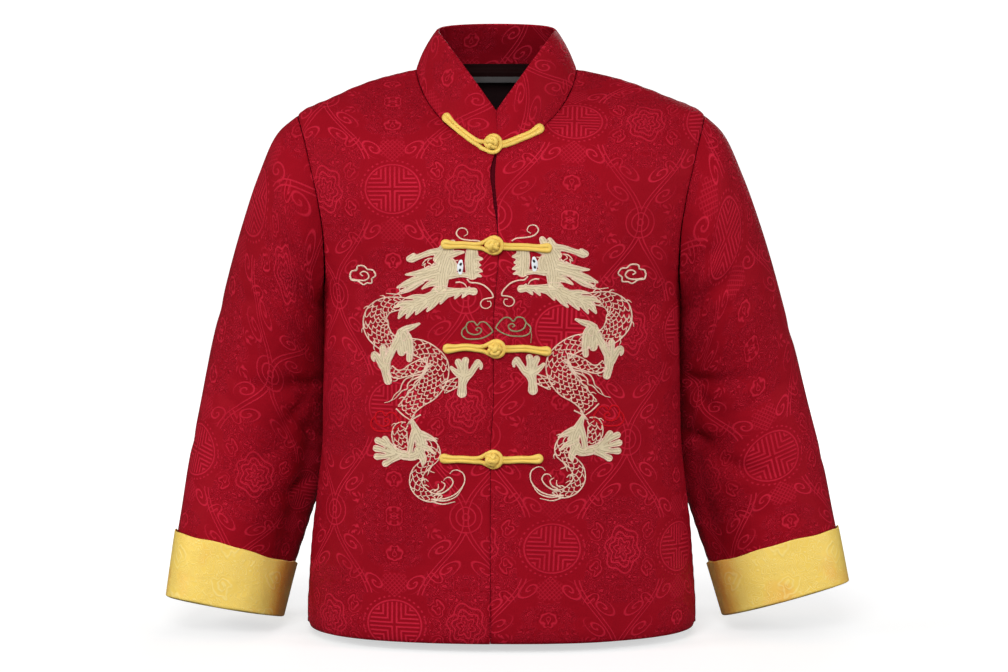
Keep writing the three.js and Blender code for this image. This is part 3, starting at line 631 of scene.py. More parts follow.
FRONT_FOLDS = [
    (-112, -150, -112, -265, 16, 2.2), (110, -150, 110, -280, 17, 2.4),
    (-70, -350, -72, -460, 18, 1.8), (52, -340, 54, -455, 17, 1.6), (104, -330, 106, -460, 16, 2),
    (-128, -120, -96, -205, 9, 1.6), (124, -118, 96, -190, 8, 1.5),
    (-140, -170, -104, -250, 8, 1.4), (136, -172, 108, -262, 9, 1.5),
    (-118, -300, -108, -420, 9, 1.2), (84, -260, 96, -380, 10, 1.1),
]


def front_depth(x, z, side, fade=1.0):
    """How far the face of a front lies below the smooth torso: folds, soft unevenness, a wave at
    the hem and the turned edge at the opening."""
    edge = np.abs(x - reading(OPENING, 1, z))
    soft = 0.45 * np.sin(x / 19 + 1.3 * np.sin(z / 31)) * np.sin(z / 24 + 0.9 * np.sin(x / 27))
    depth = (creases(FRONT_FOLDS, x, z) + soft) * np.minimum(1, edge / 10 + 0.3) * fade
    wave = 0.9 * np.sin(x / 23 + 2 * side) * np.exp(-(z - HEM_Z) / 45)
    return depth + wave + 0.5 * np.exp(-((edge / 3) ** 2)) * (z < -NECK_DROP)


def front_panel(name, node, side, shift, tilt):
    """A front on one side. Shift and tilt say where on the bolt of damask it was cut."""
    turn, z = panel_places(side, PANEL_COLUMNS)
    smooth = torso(turn, z)
    normal = outward(smooth)
    cut = flat_places(turn, z)
    far_edge = np.linalg.norm(smooth - smooth[:, -1:], axis=-1)
    top_edge = np.linalg.norm(smooth - smooth[-1:], axis=-1)
    depth = front_depth(smooth[..., 0], z, side, np.minimum(1, far_edge / 12))
    depth = depth + seam_edge(far_edge, z) + seam_edge(top_edge, smooth[..., 0], phase=1)
    depth = depth + HEM_ROLL * np.exp(-(z - z[:1]) / HEM_ROLL_REACH)
    outer = smooth - normal * depth[..., None]
    inner = smooth - normal * (CLOTH + np.minimum(depth, 3)[..., None])
    u, v = cut[..., 0] - shift[0], cut[..., 1] - CUT_START_Z - shift[1]
    c, s = math.cos(math.radians(tilt)), math.sin(math.radians(tilt))
    flat = np.stack([u * c - v * s, u * s + v * c], -1)
    piece = cloth_mesh(name, outer, inner, flat, [red_silk, dark_lining])
    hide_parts(node)
    return piece


front_right = front_panel("front_right_cloth", "front_right", -1, (-89, 187), 0)
front_left = front_panel("front_left_cloth", "front_left", 1, (41, 73), 3)

# ---------------------------------------------------------------- embroidery
# Two dragons face each other across the opening, with small clouds round them. They are machine
# embroidered in rayon thread before the fronts are sewn: satin-stitch fills with raised outlines,
# and bodies drawn as nets of scales.

# Places are millimetres outwards from the pair's middle and up from half height, as if every
# motif were on the wearer's left.
PAIR_X, PAIR_Z = -2.5, -230
STITCH_STEP, BRUSH_STEP, LINE_STEP, SHORTEST_OUTLINE = 0.75, 1.5, 0.9, 6
OUTLINE_WIDTH, OUTLINE_HEIGHT, UNDERSIDE = 1.05, 0.85, -0.4

# Brush strokes that make up the fills: each point is a place and the stroke's width there.
HEAD = [
    [(20.6, 85, 9.4), (20.6, 76, 10.6), (20.2, 68.5, 9)], [(17, 80.5, 5), (11.8, 80, 0.7)],
    [(17, 76, 4), (13.4, 75, 0.7)], [(17, 71.5, 5), (12.2, 70.2, 0.7)],
    [(18, 68, 4), (13, 66, 0.7)],
    [(27, 86, 1.4), (33, 85.4, 4), (41, 83, 6)], [(24, 67.4, 3.4), (30, 68, 3.2), (38, 67.5, 5)],
    [(36.6, 79, 4), (35.4, 74, 6.4), (37.4, 68.6, 5)],
    [(36, 94, 4), (38, 90, 6), (41.4, 82, 8), (44, 74, 13), (45.4, 66, 12), (45.4, 58, 9)],
    [(42, 93.5, 3), (45, 87, 7), (49, 81, 5)],
    [(46, 87.4, 5), (54, 86.4, 4.2), (62, 83.8, 3.6), (69, 81.4, 5)],
    [(67.5, 84.6, 3), (71, 81.8, 4.4)], [(49, 73.5, 7), (61, 70.4, 5), (74, 69, 0.8)],
    [(47, 70, 8), (60, 66.5, 6.5), (72.5, 62, 4.8), (81, 58.6, 0.8)],
    [(61, 63.5, 4), (70, 58.6, 3.6), (78.5, 55.4, 0.8)],
    [(48, 63, 6), (55, 61, 3.6), (61, 57.4, 0.8)],
]
JAW = [
    [(19, 54.2, 5.4), (25, 54.8, 4.2), (32, 54.6, 4.6), (39, 54, 7), (48, 53.5, 11)],
    [(22, 55, 3), (23.4, 58.4, 0.7)],
    [(44, 55.5, 8), (54, 49.5, 9.4), (66, 44.5, 9), (75, 40.5, 6), (80, 33.5, 0.8)],
    [(25, 53.6, 4), (28.4, 49.6, 0.7)], [(31, 53.4, 4), (34.6, 48.8, 0.7)],
    [(41, 53, 6), (46, 45, 0.8)],
    [(49, 49.5, 7), (53, 43.5, 4), (57, 39, 0.8)], [(57, 47, 7), (62, 42, 5), (66, 36.5, 0.8)],
    [(66, 45.5, 6), (70, 39.5, 4.4), (73.5, 33.5, 0.8)],
    [(66, 45.5, 5), (76, 45.5, 4), (83.5, 42.5, 0.8)],
    [(58, 50, 5), (67, 51, 3), (74, 50, 0.8)],
]
UPPER_ARM = [
    [(62.5, 29.5, 0.8), (68, 27, 3.4), (74.7, 24.5, 5), (78, 22, 6)],
    [(76, 23, 5), (72.5, 18.5, 5.4), (70.7, 9.5, 5), (71.2, 0.5, 4.2)],
    [(78, 22, 6), (77, 16, 5), (76, 8, 5.6)], [(78, 10, 6), (77.5, 6.5, 6)],
    [(79.5, 19, 6), (80.8, 15.5, 6.4), (84.6, 9, 5.6), (89.5, 0, 6)],
]
OUTER_CLAW = [
    [(91.5, -5, 7.6), (92.8, 3, 4.4), (93, 9.4, 5.2)], [(90, -4, 6), (88.4, 2, 4), (86.8, 8, 4.4)],
    [(93, -5, 6.4), (96.4, -0.4, 4.6), (98.6, 3.4, 4.6), (100.6, 4.4, 4)],
    [(101.4, 4, 3.6), (102.2, 1.4, 2.4), (100.8, -1.2, 1.2)],
    [(91, -6, 8), (90.4, -12, 5.6), (88.8, -17, 6)],
]
INNER_CLAW = [
    [(26.5, -14, 8.6), (21.8, -11.6, 5), (18.4, -7, 4.4), (15.8, -3.4, 5)],
    [(15, -3.6, 3.6), (13, -5.4, 2.4), (13.4, -8.4, 1.2)],
    [(26.5, -13, 8), (26.3, -6, 4.4), (25.8, -1.4, 5.2)],
    [(28, -12, 7), (30, -6.4, 4.2), (31.6, -2.4, 4.8)],
    [(26.5, -14, 8.6), (28.2, -20, 6), (28.6, -27.6, 7)],
    [(29, -13, 6.5), (34, -10, 3.6), (37.4, -6.6, 2)],
]
THIGH = [
    [(69.5, -49, 2), (66.4, -56, 5), (62.6, -64, 8), (61.6, -71, 8), (67, -78, 6.4), (76, -78, 6)],
    [(67, -58, 5), (69.4, -66, 4.4), (71, -74, 4)],
    [(61, -61, 6), (54, -63.5, 3), (49, -66.5, 0.8)],
    [(64, -74, 7), (60, -81, 5), (60.6, -86, 0.8)], [(63, -69, 6), (56, -72, 3), (50, -77, 0.8)],
]
HIND_CLAW = [
    [(74, -77.5, 6.4), (82, -75.4, 6.4), (87.4, -69.6, 3.6), (91.5, -64.6, 4.6)],
    [(83, -74.4, 6), (90.4, -69.8, 3.4), (97.4, -66, 4.8)],
    [(84, -75.4, 6), (91.6, -74, 3.4), (98.8, -72.4, 4.8)],
    [(84, -76.6, 6), (91, -78.6, 3.4), (98, -79, 4.8)],
    [(80, -78, 6), (86, -81.8, 3.6), (91, -84.6, 4.8)],
]
# Scaled bodies: each point is a place and the body's width there. Spines stand on one side of
# most of them, 1 to the left of the way they run and -1 to the right.
BODIES = [
    [
        (72, 45.5, 9), (82, 45.5, 11), (91, 43.5, 14), (98.5, 36.5, 20), (99, 26.5, 22),
        (93, 17.5, 18), (84, 12, 13),
    ],
    [
        (74, 12, 12), (61, 8.5, 14), (51.3, 1.5, 15), (48, -5, 17), (49.5, -14, 19),
        (56, -23.5, 19.5), (64.5, -30.5, 16.5), (70.5, -36.5, 14.5), (75, -42, 14.5),
    ],
    [(73.5, -52, 3), (78.6, -56, 11), (79.4, -63, 12.5), (76.5, -72, 9)],
    [
        (60.6, -66, 11), (53, -71, 10), (51, -78, 9), (58, -84.6, 9), (65, -92.5, 10),
        (66, -101.5, 10), (61, -108.5, 9.5), (53, -112, 7.4), (45, -110, 3),
    ],
    [
        (55, -1, 7), (62, -4.5, 9.5), (69, -7.5, 8.5), (76, -11, 6.4), (82, -11.5, 7),
        (87.5, -8, 7.5),
    ],
    [(31, -18, 7), (37, -20.5, 8), (44, -24, 8)],
    [(51.5, 80, 4), (55.4, 78, 7), (58.6, 74.6, 6)],
]
SPINE_SIDES = (1, 1, 1, -1, -1, 0, 0)
# Single lines: whiskers, flames, the tail's fins and the fringe of the mane.
LINES = [
    [
        (24.5, 64.4), (21.9, 61.6), (16.9, 61), (11.4, 59.2), (7, 55.6), (4, 51.6), (3.6, 49),
        (8, 48.4), (12, 47), (13.6, 44.2), (12.2, 41.2), (8.8, 40.2), (5.4, 42.2), (5.6, 45.6),
        (8.4, 46),
    ],
    [
        (11.5, 92.6), (15, 94.6), (23, 95.4), (29.5, 97), (33, 101.2), (30.5, 105), (25.6, 104.6),
        (24, 100.8), (27, 98.6),
    ],
    [
        (56.4, 1.6), (57.4, -5), (59.7, -10.9), (67.7, -12.9), (74.6, -15.9), (77.4, -19.9),
        (79.1, -24.7), (83.1, -28.1), (86.6, -33.3), (91.7, -35),
    ],
    [
        (60.8, -12.7), (70, -16.9), (72.8, -20.1), (73.2, -23.5), (76.9, -25), (79.7, -27.8),
        (82.6, -31), (86.6, -33.3),
    ],
    [
        (57.8, -5), (61.4, -13.2), (64.3, -16.3), (67.1, -18.8), (68.3, -23), (72.3, -25.3),
        (73.7, -28.9), (76.6, -32.1),
    ],
    [(67, -45), (70.6, -49.3), (73.4, -52.7)], [(62, -44.5), (68, -48), (72, -52.4)],
    [(82.4, -39.6), (76, -45.4), (71, -48.6)],
    [
        (53.5, -113.5), (42.4, -113), (33.3, -109), (27, -101), (27.2, -93.8), (31.6, -90.2),
        (36, -90.4), (38.6, -93),
    ],
    [
        (51.5, -110.5), (44, -108.3), (37.5, -103.3), (36, -99.3), (38.4, -96), (42, -96.4),
        (43.6, -98.4),
    ],
    [(49, -108), (44, -105.3), (42.6, -101.3), (45.6, -99)],
    [(51.5, -107), (48, -104.8), (48, -101)],
    [(54, -115), (44.4, -117.6), (34.3, -115.6)],
    [(52.5, -114), (42.4, -114.8), (33.3, -111.3), (28.4, -104.8)],
    [(53, -86), (55, -90), (51, -92)], [(62, -99), (58.5, -97), (56, -99)],
    [(56, 65), (65, 62), (74, 57.5), (84, 52)], [(60, 62.5), (69, 56.5), (80, 53.5), (90, 54)],
    [(33.6, 61.8), (30, 62), (26.4, 60.4), (24.6, 57.6)], [(38.2, 81.4), (34, 79.4), (31.4, 79.6)],
    [(76, 62), (79, 57.4), (76.5, 54)],
    [(73, 26), (72.6, 20), (75.6, 15.4), (77.6, 19.6), (75.6, 24)],
]
EYE_WHITE = [[(29.4, 78.6, 3), (30, 74, 5.2), (29.8, 69.6, 3.2)]]
EYE_DARK = [[(29.2, 76.8, 1.9), (29.6, 76, 1.9)], [(30, 72, 1.9), (30.2, 71.2, 1.9)]]
# Clouds: outlines and the curls within them, as shares of their half width and half height.
CLOUD = [
    (-0.98, -0.1), (-0.86, 0.36), (-0.52, 0.52), (-0.44, 0.9), (0.06, 0.98), (0.36, 0.66),
    (0.78, 0.6), (1, 0.06), (0.7, -0.3), (0.66, -0.74), (0.24, -0.82), (-0.04, -1), (-0.42, -0.66),
    (-0.86, -0.56), (-0.98, -0.1),
]
CLOUD_CURL = [
    (-0.8, -0.5), (-0.36, -0.58), (0.16, -0.5), (0.44, -0.12), (0.3, 0.3), (-0.06, 0.38),
    (-0.26, 0.12), (-0.06, -0.08),
]
BROAD_CLOUD = [
    (-1, -0.1), (-0.84, 0.36), (-0.5, 0.94), (-0.2, 0.94), (0.02, 0.6), (0.24, 1), (0.6, 0.9),
    (0.76, 0.44), (0.98, 0.06), (1, -0.5), (0.74, -0.88), (0.2, -0.96), (-0.3, -0.84),
    (-0.76, -0.46), (-1, -0.1),
]
BROAD_CURL = [
    (0.76, 0.44), (0.62, -0.16), (0.2, -0.46), (-0.18, -0.26), (-0.26, 0.12), (-0.04, 0.34),
    (0.1, 0.12), (-0.04, 0),
]


def on_front(x, z, lift):
    """Points on the face of the fronts, lifted off it."""

    def depth_at(x, z):
        return torso(turn_at(x, z), z)[..., 1]

    slope_x = depth_at(x + 0.5, z) - depth_at(x - 0.5, z)
    slope_z = depth_at(x, z + 0.5) - depth_at(x, z - 0.5)
    away = np.stack([slope_x, -1 + 0 * slope_x, slope_z], -1)
    away /= np.linalg.norm(away, axis=-1, keepdims=True)
    side = np.where(x < reading(OPENING, 1, z), -1, 1)
    return np.stack([x, depth_at(x, z), z], -1) + away * (lift - front_depth(x, z, side))[..., None]


def smooth_curves(knots, at):
    """Centripetal curves through knots [knot][curve], at places from 0 to 1 along them."""
    last = len(knots) - 1
    padded = np.concatenate([2 * knots[:1] - knots[1:2], knots, 2 * knots[-1:] - knots[-2:-1]])
    place = np.clip(at, 0, 1) * last
    i = np.minimum(place.astype(int), last - 1)
    w = (place - i)[:, None, None]
    p = [padded[i + k] for k in range(4)]
    gap = [np.sqrt(np.linalg.norm(b - a, axis=-1, keepdims=True)) for a, b in zip(p, p[1:])]
    gap = [np.maximum(g, 1e-3) for g in gap]
    slope_1 = (p[1] - p[0]) / gap[0] - (p[2] - p[0]) / (gap[0] + gap[1]) + (p[2] - p[1]) / gap[1]
    slope_2 = (p[2] - p[1]) / gap[1] - (p[3] - p[1]) / (gap[1] + gap[2]) + (p[3] - p[2]) / gap[2]
    slope_1, slope_2 = slope_1 * gap[1], slope_2 * gap[1]
    rise = 2 * p[1] - 2 * p[2] + slope_1 + slope_2
    bend = -3 * p[1] + 3 * p[2] - 2 * slope_1 - slope_2
    return p[1] + slope_1 * w + bend * w**2 + rise * w**3


def smooth_path(points, step):
    """A smooth curve through given points, with a point about every step."""
    points = np.array(points, float)
    length = np.linalg.norm(np.diff(points[:, :2], axis=0), axis=1).sum()
    return smooth_curves(points[:, None], np.linspace(0, 1, max(4, int(length / step) + 1)))[:, 0]


def sideways(path):
    """Unit directions to the left of a flat path."""
    along = np.gradient(path, axis=0)
    along /= np.maximum(np.linalg.norm(along, axis=1, keepdims=True), 1e-9)
    return np.stack([-along[:, 1], along[:, 0]], 1)


def run_length(path):
    """How far along a path each of its points lies."""
    return np.concatenate([[0], np.cumsum(np.linalg.norm(np.diff(path, axis=0), axis=1))])


class Needlework:
    """Threads and fills gathered in the flat, then laid on the cloth as one mesh."""

    def __init__(self, place):
        self.place = place
        self.points, self.faces, self.cut, self.kinds = [], [], [], []

    def thread(self, path, width, kind, height=0.75, step=None):
        """A raised line of stitches along a path, closed underneath."""
        path = smooth_path(path, step) if step else np.array(path)
        width = np.interp(np.linspace(0, 1, len(path)), np.linspace(0, 1, len(width)), width)
        aside, start, along = sideways(path), len(self.points), run_length(path)
        section = [(-1, -0.35), (-0.7, 0.62), (0, 1), (0.7, 0.62), (1, -0.35)]
        sides, rings = len(section), len(path)
        for (x, y), (ax, ay), half, u in zip(path, aside, width / 2, along):
            for across, up in section:
                self.points.append((x + ax * across * half, y + ay * across * half, up * height))
                self.cut.append((u, across * half))
        for i in range(rings - 1):
            for k in range(sides):
                a, b = start + sides * i + k, start + sides * i + (k + 1) % sides
                self.faces.append((a, b, b + sides, a + sides))
        last = start + sides * (rings - 1)
        self.faces += [tuple(range(start, start + sides))[::-1], tuple(range(last, last + sides))]
        self.kinds += [kind] * (sides * (rings - 1) + 2)

    def fill(self, strokes, kind, edge_kind=None, base=0.15, height=0.6):
        """A padded fill where brush strokes lie, and the raised line round it."""
        brushes = [smooth_path(stroke, BRUSH_STEP) for stroke in strokes]
        every = np.concatenate(brushes)
        margin, far_outside = 8, -9.0
        low, high = every[:, :2].min(0) - margin, every[:, :2].max(0) + margin
        xs, ys = np.arange(low[0], high[0], STITCH_STEP), np.arange(low[1], high[1], STITCH_STEP)
        gx, gy = np.meshgrid(xs, ys)
        within, pile = np.full(gx.shape, far_outside), np.zeros(gx.shape)
        cut_u, cut_v = np.zeros(gx.shape), np.zeros(gx.shape)
        for brush in brushes:
            along = run_length(brush[:, :2])
            for (x1, y1, w1), (x2, y2, w2), u in zip(brush, brush[1:], along):
                dx, dy = x2 - x1, y2 - y1
                t = np.clip(((gx - x1) * dx + (gy - y1) * dy) / (dx * dx + dy * dy), 0, 1)
                off = np.hypot(gx - x1 - t * dx, gy - y1 - t * dy)
                room = (w1 + (w2 - w1) * t) / 2 - off
                rise = np.sqrt(np.clip(room / np.maximum(w1, w2) * 2, 0, 1))
                better = rise > pile
                pile = np.where(better, rise, pile)
                cut_u = np.where(better, u + t * math.hypot(dx, dy), cut_u)
                aside = ((gx - x1) * dy - (gy - y1) * dx) / math.hypot(dx, dy)
                cut_v = np.where(better, aside, cut_v)
                within = np.maximum(within, room)
        made, following = {}, {}
        start = len(self.points)

        def corner(i, j):
            if (i, j) not in made:
                made[i, j] = len(self.points)
                self.points.append((xs[j], ys[i], base + height * pile[i, j]))
                self.cut.append((cut_u[i, j], cut_v[i, j]))
            return made[i, j]

        def crossing(first, second):
            key = (min(first, second), max(first, second))
            if key not in made:
                (i1, j1), (i2, j2) = key
                t = within[i1, j1] / (within[i1, j1] - within[i2, j2])
                made[key] = len(self.points)
                x, y = xs[j1] + t * (xs[j2] - xs[j1]), ys[i1] + t * (ys[i2] - ys[i1])
                self.points.append((x, y, base))
                inner = (i1, j1) if within[i1, j1] > 0 else (i2, j2)
                self.cut.append((cut_u[inner], cut_v[inner]))
            return made[key]

        # the tops of the stitches, cut off where the strokes end, and the way round their edge
        tops = []
        full = within > 0
        touched = full[:-1, :-1] | full[1:, :-1] | full[:-1, 1:] | full[1:, 1:]
        for i, j in np.argwhere(touched).tolist():
            corners = [(i, j), (i, j + 1), (i + 1, j + 1), (i + 1, j)]
            outline, crossed = [], []
            for here, after in zip(corners, corners[1:] + corners[:1]):
                if full[here]:
                    outline.append(corner(*here))
                if full[here] != full[after]:
                    outline.append(crossing(here, after))
                    crossed.append(outline[-1])
            tops.append(outline)
            for a, b in zip(outline, outline[1:] + outline[:1]):
                if a in crossed and b in crossed and a not in following:
                    following[a] = b
        count = len(self.points) - start
        for x, y, _ in self.points[start:]:
            self.points.append((x, y, UNDERSIDE))
        self.cut += self.cut[start:]
        walls = [(b, a, a + count, b + count) for a, b in following.items()]
        unders = [tuple(p + count for p in outline[::-1]) for outline in tops]
        self.faces += [tuple(outline) for outline in tops] + unders + walls
        self.kinds += [kind] * (len(tops) * 2 + len(walls))
        if edge_kind is None:
            return
        # a raised line of stitches round each closed edge, but not round mere specks
        left = dict(following)
        while left:
            first, here = next(iter(left.items()))
            loop = [first]
            left.pop(first)
            while here in left:
                loop.append(here)
                here = left.pop(here)
            if len(loop) > SHORTEST_OUTLINE:
                ring = np.array([self.points[p][:2] for p in loop])
                ring = (ring + np.roll(ring, 1, axis=0) + np.roll(ring, -1, axis=0)) / 3
                ring = np.concatenate([ring, ring[:2]])
                self.thread(ring, [OUTLINE_WIDTH], edge_kind, OUTLINE_HEIGHT)

    def scales(self, body, kind):
        """A body drawn as two edges and a net of scales between them, a little uneven."""
        edge_width, net_width, row_gap, scale_width, scale_length = 1.15, 0.9, 3.5, 4.2, 2.9
        path, half, aside, along = self.body_line(body)
        for hand in (-1, 1):
            edge = (path + aside * (half * hand)[:, None])[::2]
            self.thread(edge, [edge_width], kind, OUTLINE_HEIGHT)
        rows = int(along[-1] / row_gap)
        for row in range(rows):
            at = 1.5 + row * along[-1] / rows
            width = 2 * np.interp(at, along, half)
            scales_across = max(1, round(width / scale_width))
            c = np.linspace(-1, 1, 8 * scales_across + 1)
            bulge = np.abs(np.sin(math.pi * (scales_across * (c + 1) / 2 + 0.5 * (row % 2))))
            tilt = 1.1 * np.sin(2.3 * row) * c + 0.5 * np.sin(5 * c + 1.9 * row)
            where = np.clip(at + scale_length * bulge**0.7 + tilt, 0, along[-1])
            middle = np.stack([np.interp(where, along, path[:, k]) for k in (0, 1)], 1)
            out = np.stack([np.interp(where, along, aside[:, k]) for k in (0, 1)], 1)
            reach = c * np.interp(where, along, half)
            self.thread(middle + out * reach[:, None], [net_width], kind, 0.6)

    def body_line(self, body):
        """A body's middle line, half widths, directions to its left and lengths along it."""
        line = smooth_path(body, 0.8)
        path = line[:, :2]
        return path, line[:, 2] / 2, sideways(path), run_length(path)

    def spines(self, body, hand, kind):
        """Short bent spines along one edge of a body."""
        gap, reach = 11, 5
        path, half, aside, along = self.body_line(body)
        aside = aside * hand
        for at in np.arange(gap / 2, along[-1] - 2, gap):
            i = int(np.searchsorted(along, at))
            root = path[i] + aside[i] * half[i]
            ahead = path[min(i + 3, len(path) - 1)] - path[i]
            ahead /= np.linalg.norm(ahead)
            tip = root + aside[i] * reach * 0.6 + ahead * reach * 0.8
            bend = root + aside[i] * reach * 0.4 + ahead * reach * 0.25
            self.thread([root, bend, tip], [1.2, 1, 0.5], kind, 0.7, step=LINE_STEP)

    def made_up(self, name, materials):
        """The needlework as a piece that lies on the fronts, facing outwards."""
        flat = np.array(self.points)
        x, z = self.place(flat[:, 0], flat[:, 1])
        ends = self.place(np.array([0.0, 1.0]), np.array([0.0, 0.0]))[0]
        mirrored = ends[1] < ends[0]
        faces = self.faces if mirrored else [face[::-1] for face in self.faces]
        cut = np.array(self.cut)[np.concatenate(faces)]
        places = on_front(x, z, flat[:, 2])
        piece = new_piece(name, places, faces, cut, materials, np.array(self.kinds))
        return piece


def stitched_group():
    """Rayon stitches: close ribs across a line of stitching, and thin gaps along it."""
    group, given, result = new_group(
        "stitches",
        [("Cut", "NodeSocketVector"), ("Stitch", "NodeSocketFloat"), ("Gap", "NodeSocketFloat")],
        [("Ribs", "NodeSocketFloat"), ("Gaps", "NodeSocketFloat")],
    )
    work = calculator(group)
    u, v = split_up(group, given.outputs["Cut"])
    noise = cloudy(group, 260, 2, given.outputs["Cut"])
    drift = work("MULTIPLY_ADD", noise, 0.0016, -0.0008)
    along = work("ADD", u, work("MULTIPLY", drift, 0.3))
    ribs = work("SINE", work("MULTIPLY", work("DIVIDE", along, given.outputs["Stitch"]), math.tau))
    across = work("DIVIDE", work("ADD", v, drift), given.outputs["Gap"])
    ridge = work("ABSOLUTE", work("SUBTRACT", work("FRACT", across), 0.5))
    gaps = work("MULTIPLY_ADD", ridge, -9, 1.3, clamp=True)
    group.links.new(ribs, result.inputs["Ribs"])
    group.links.new(gaps, result.inputs["Gaps"])
    return group


STITCHES = stitched_group()


def thread_material(name, colour, shade, groove_shade_colour=None):
    """Rayon thread with painted highlights and shade on its ribs, and painted shade in its gaps."""
    material, tree, yarn = new_material(name)
    work = calculator(tree)
    stitches = placed_group(tree, STITCHES, cut_place(tree), Stitch=0.0005, Gap=0.0019)
    clouds = cloudy(tree, 180, 4)
    # the ribs change the colour as well as the bump: painted highlights and shade on each stitch;
    # the clouds vary the tone at random
    share = work("MULTIPLY_ADD", stitches["Ribs"], 0.18, clouds, clamp=True)
    base = mixed(tree, share, colour, shade)
    # painted shade in the grooves between rows of stitches
    if groove_shade_colour:
        base = mixed(tree, work("MULTIPLY", stitches["Gaps"], 0.7), base, groove_shade_colour)
    tree.links.new(base, yarn.inputs["Base Color"])
    tree.links.new(work("MULTIPLY_ADD", clouds, 0.2, 0.4), yarn.inputs["Roughness"])
    height = work("SUBTRACT", stitches["Ribs"], work("MULTIPLY", stitches["Gaps"], 2))
    tree.links.new(bumped(tree, height, 0.00025, 0.5), yarn.inputs["Normal"])
    yarn.inputs["Sheen Weight"].default_value = 0.05
    yarn.inputs["Sheen Tint"].default_value = (*colour, 1)
    yarn.inputs["Specular IOR Level"].default_value = 0.3
    yarn.inputs["Specular Tint"].default_value = (*colour, 1)
    return material


# the fill's third colour is the painted shade in the grooves between its stitches
cream_fill = thread_material(
    "cream_thread_fill", (0.80, 0.69, 0.48), (0.58, 0.47, 0.29), (0.28, 0.17, 0.10)
)
cream_line = thread_material("cream_thread_line", (0.86, 0.67, 0.53), (0.72, 0.50, 0.38))
white_thread = thread_material("white_thread", (0.86, 0.88, 0.9), (0.7, 0.74, 0.78))
black_thread = thread_material("black_thread", (0.02, 0.02, 0.025), (0.04, 0.04, 0.045))
green_thread = thread_material("green_thread", (0.40, 0.37, 0.22), (0.14, 0.19, 0.085))
red_thread = thread_material("red_thread", (0.58, 0.0085, 0.018), (0.44, 0.0055, 0.012))


def dragon(name, side, drop, droop):
    """One dragon of the pair; the wearer's right one hangs a little lower towards the side."""

    def place(out, up):
        return PAIR_X + side * out, PAIR_Z + up - drop - droop * out

    work = Needlework(place)
    fill, line, white, black = range(4)
    for body, hand in zip(BODIES, SPINE_SIDES):
        work.scales(body, line)
        if hand:
            work.spines(body, hand, line)
    for strokes in (HEAD, JAW, UPPER_ARM, OUTER_CLAW, INNER_CLAW, THIGH, HIND_CLAW):
        work.fill(strokes, fill, line)
    for path in LINES:
        work.thread(path, [1.35, 1.35, 1.1, 0.7], line, 0.8, step=LINE_STEP)
    work.fill(EYE_WHITE, white, base=0.75, height=0.25)
    work.fill(EYE_DARK, black, base=1.05, height=0.2)
    return work.made_up(name, [cream_fill, cream_line, white_thread, black_thread])


dragon("dragon_left_embroidery", 1, 0, 0)
dragon("dragon_right_embroidery", -1, 1.5, 0.035)


def cloud(name, centre, size, shape, material, width, side, tail):
    """One cloud, drawn with a line round it, a curl inside and sometimes a tail."""

    def place(out, up):
        return centre[0] + side * out, centre[1] + up

    work = Needlework(place)
    outline, curl = (np.array(path) * size for path in shape)
    work.thread(outline, [width], 0, 0.8, step=LINE_STEP)
    work.thread(curl, [width * 1.1, width, width * 0.8], 0, 0.8, step=LINE_STEP)
    if tail:
        work.thread(tail, [0.7, 0.7, 0.5], 0, 0.6, step=LINE_STEP)
    return work.made_up(name, [material])


# name, centre, half size, shape, thread and its width, which way it faces, and a tail
NARROW, BROAD = (CLOUD, CLOUD_CURL), (BROAD_CLOUD, BROAD_CURL)
GREEN_TAIL = [(13.4, -1.5), (14.8, -5), (14.3, -13)]
for row in (
    ("cloud_cream_left", (107.5, -165.5), (11.4, 7.8), NARROW, cream_line, 1.5, -1, ()),
    ("cloud_cream_right", (-113, -167), (11.4, 7.8), NARROW, cream_line, 1.5, 1, ()),
    ("cloud_green_left", (10, -206.5), (14, 7.8), BROAD, green_thread, 1.3, 1, GREEN_TAIL),
    ("cloud_green_right", (-18.6, -209.5), (12.4, 7.2), BROAD, green_thread, 1.3, -1, ()),
    ("cloud_red_left", (87.5, -280.4), (12.6, 8.4), BROAD, red_thread, 1.9, 1, ()),
    ("cloud_red_right", (-93, -285.4), (12.2, 8.2), BROAD, red_thread, 1.9, -1, ()),
):
    cloud(*row)

# ---------------------------------------------------------------- back, its lining and facing
# The back is one padded piece of the same damask with no seam down the middle. Its dark lining
# shows through the neck, below the band that covers the collar's seam.
BACK_ROWS, NECK_SHARE = 112, 0.47
BACK_FOLDS = [
    (-104, -120, -104, -260, 16, 2.6), (108, -114, 108, -246, 17, 2.4),
    (-38, -310, -40, -462, 20, 2.2), (60, -300, 58, -455, 18, 2),
    (-132, -105, -88, -190, 9, 1.7), (128, -108, 92, -186, 8, 1.6),
    (-96, -300, -104, -440, 10, 1.4), (112, -290, 104, -420, 9, 1.3), (-30, -70, 26, -84, 7, 0.9),
    (8, -180, 2, -300, 12, 1),
]


def back_places(across):
    """Turns and heights of the whole back, row by row from the hem. The rows run from the -X side
    round to the other; the last lies along the shoulder seams and the neckline between them."""
    signed = np.linspace(-1, 1, 2 * across - 1)
    t, s = np.abs(signed), np.linspace(0, 1, BACK_ROWS)[1:, None]
    low = np.linspace(HEM_Z, UNDERARM_Z, LOW_ROWS)[:, None]
    armhole, armhole_z = armhole_turn(180 - 180 * s)
    high = s * (180 - 90 * np.minimum(1, t / NECK_SHARE)) + (1 - s) * (180 - 90 * t)
    high = high + t * (90 - armhole)
    straight = UNDERARM_Z + s * (SHOULDER_TIP_Z - UNDERARM_Z)
    sloping = SHOULDER_TIP_Z * np.maximum(0, t - NECK_SHARE) / (1 - NECK_SHARE)
    high_z = (1 - s) * UNDERARM_Z + s * sloping
    high_z = high_z + t * (armhole_z - straight)
    turn = np.concatenate([180 - 90 * t + 0 * low, high])
    return np.where(signed < 0, 360 - turn, turn), np.concatenate([low + 0 * t, high_z])


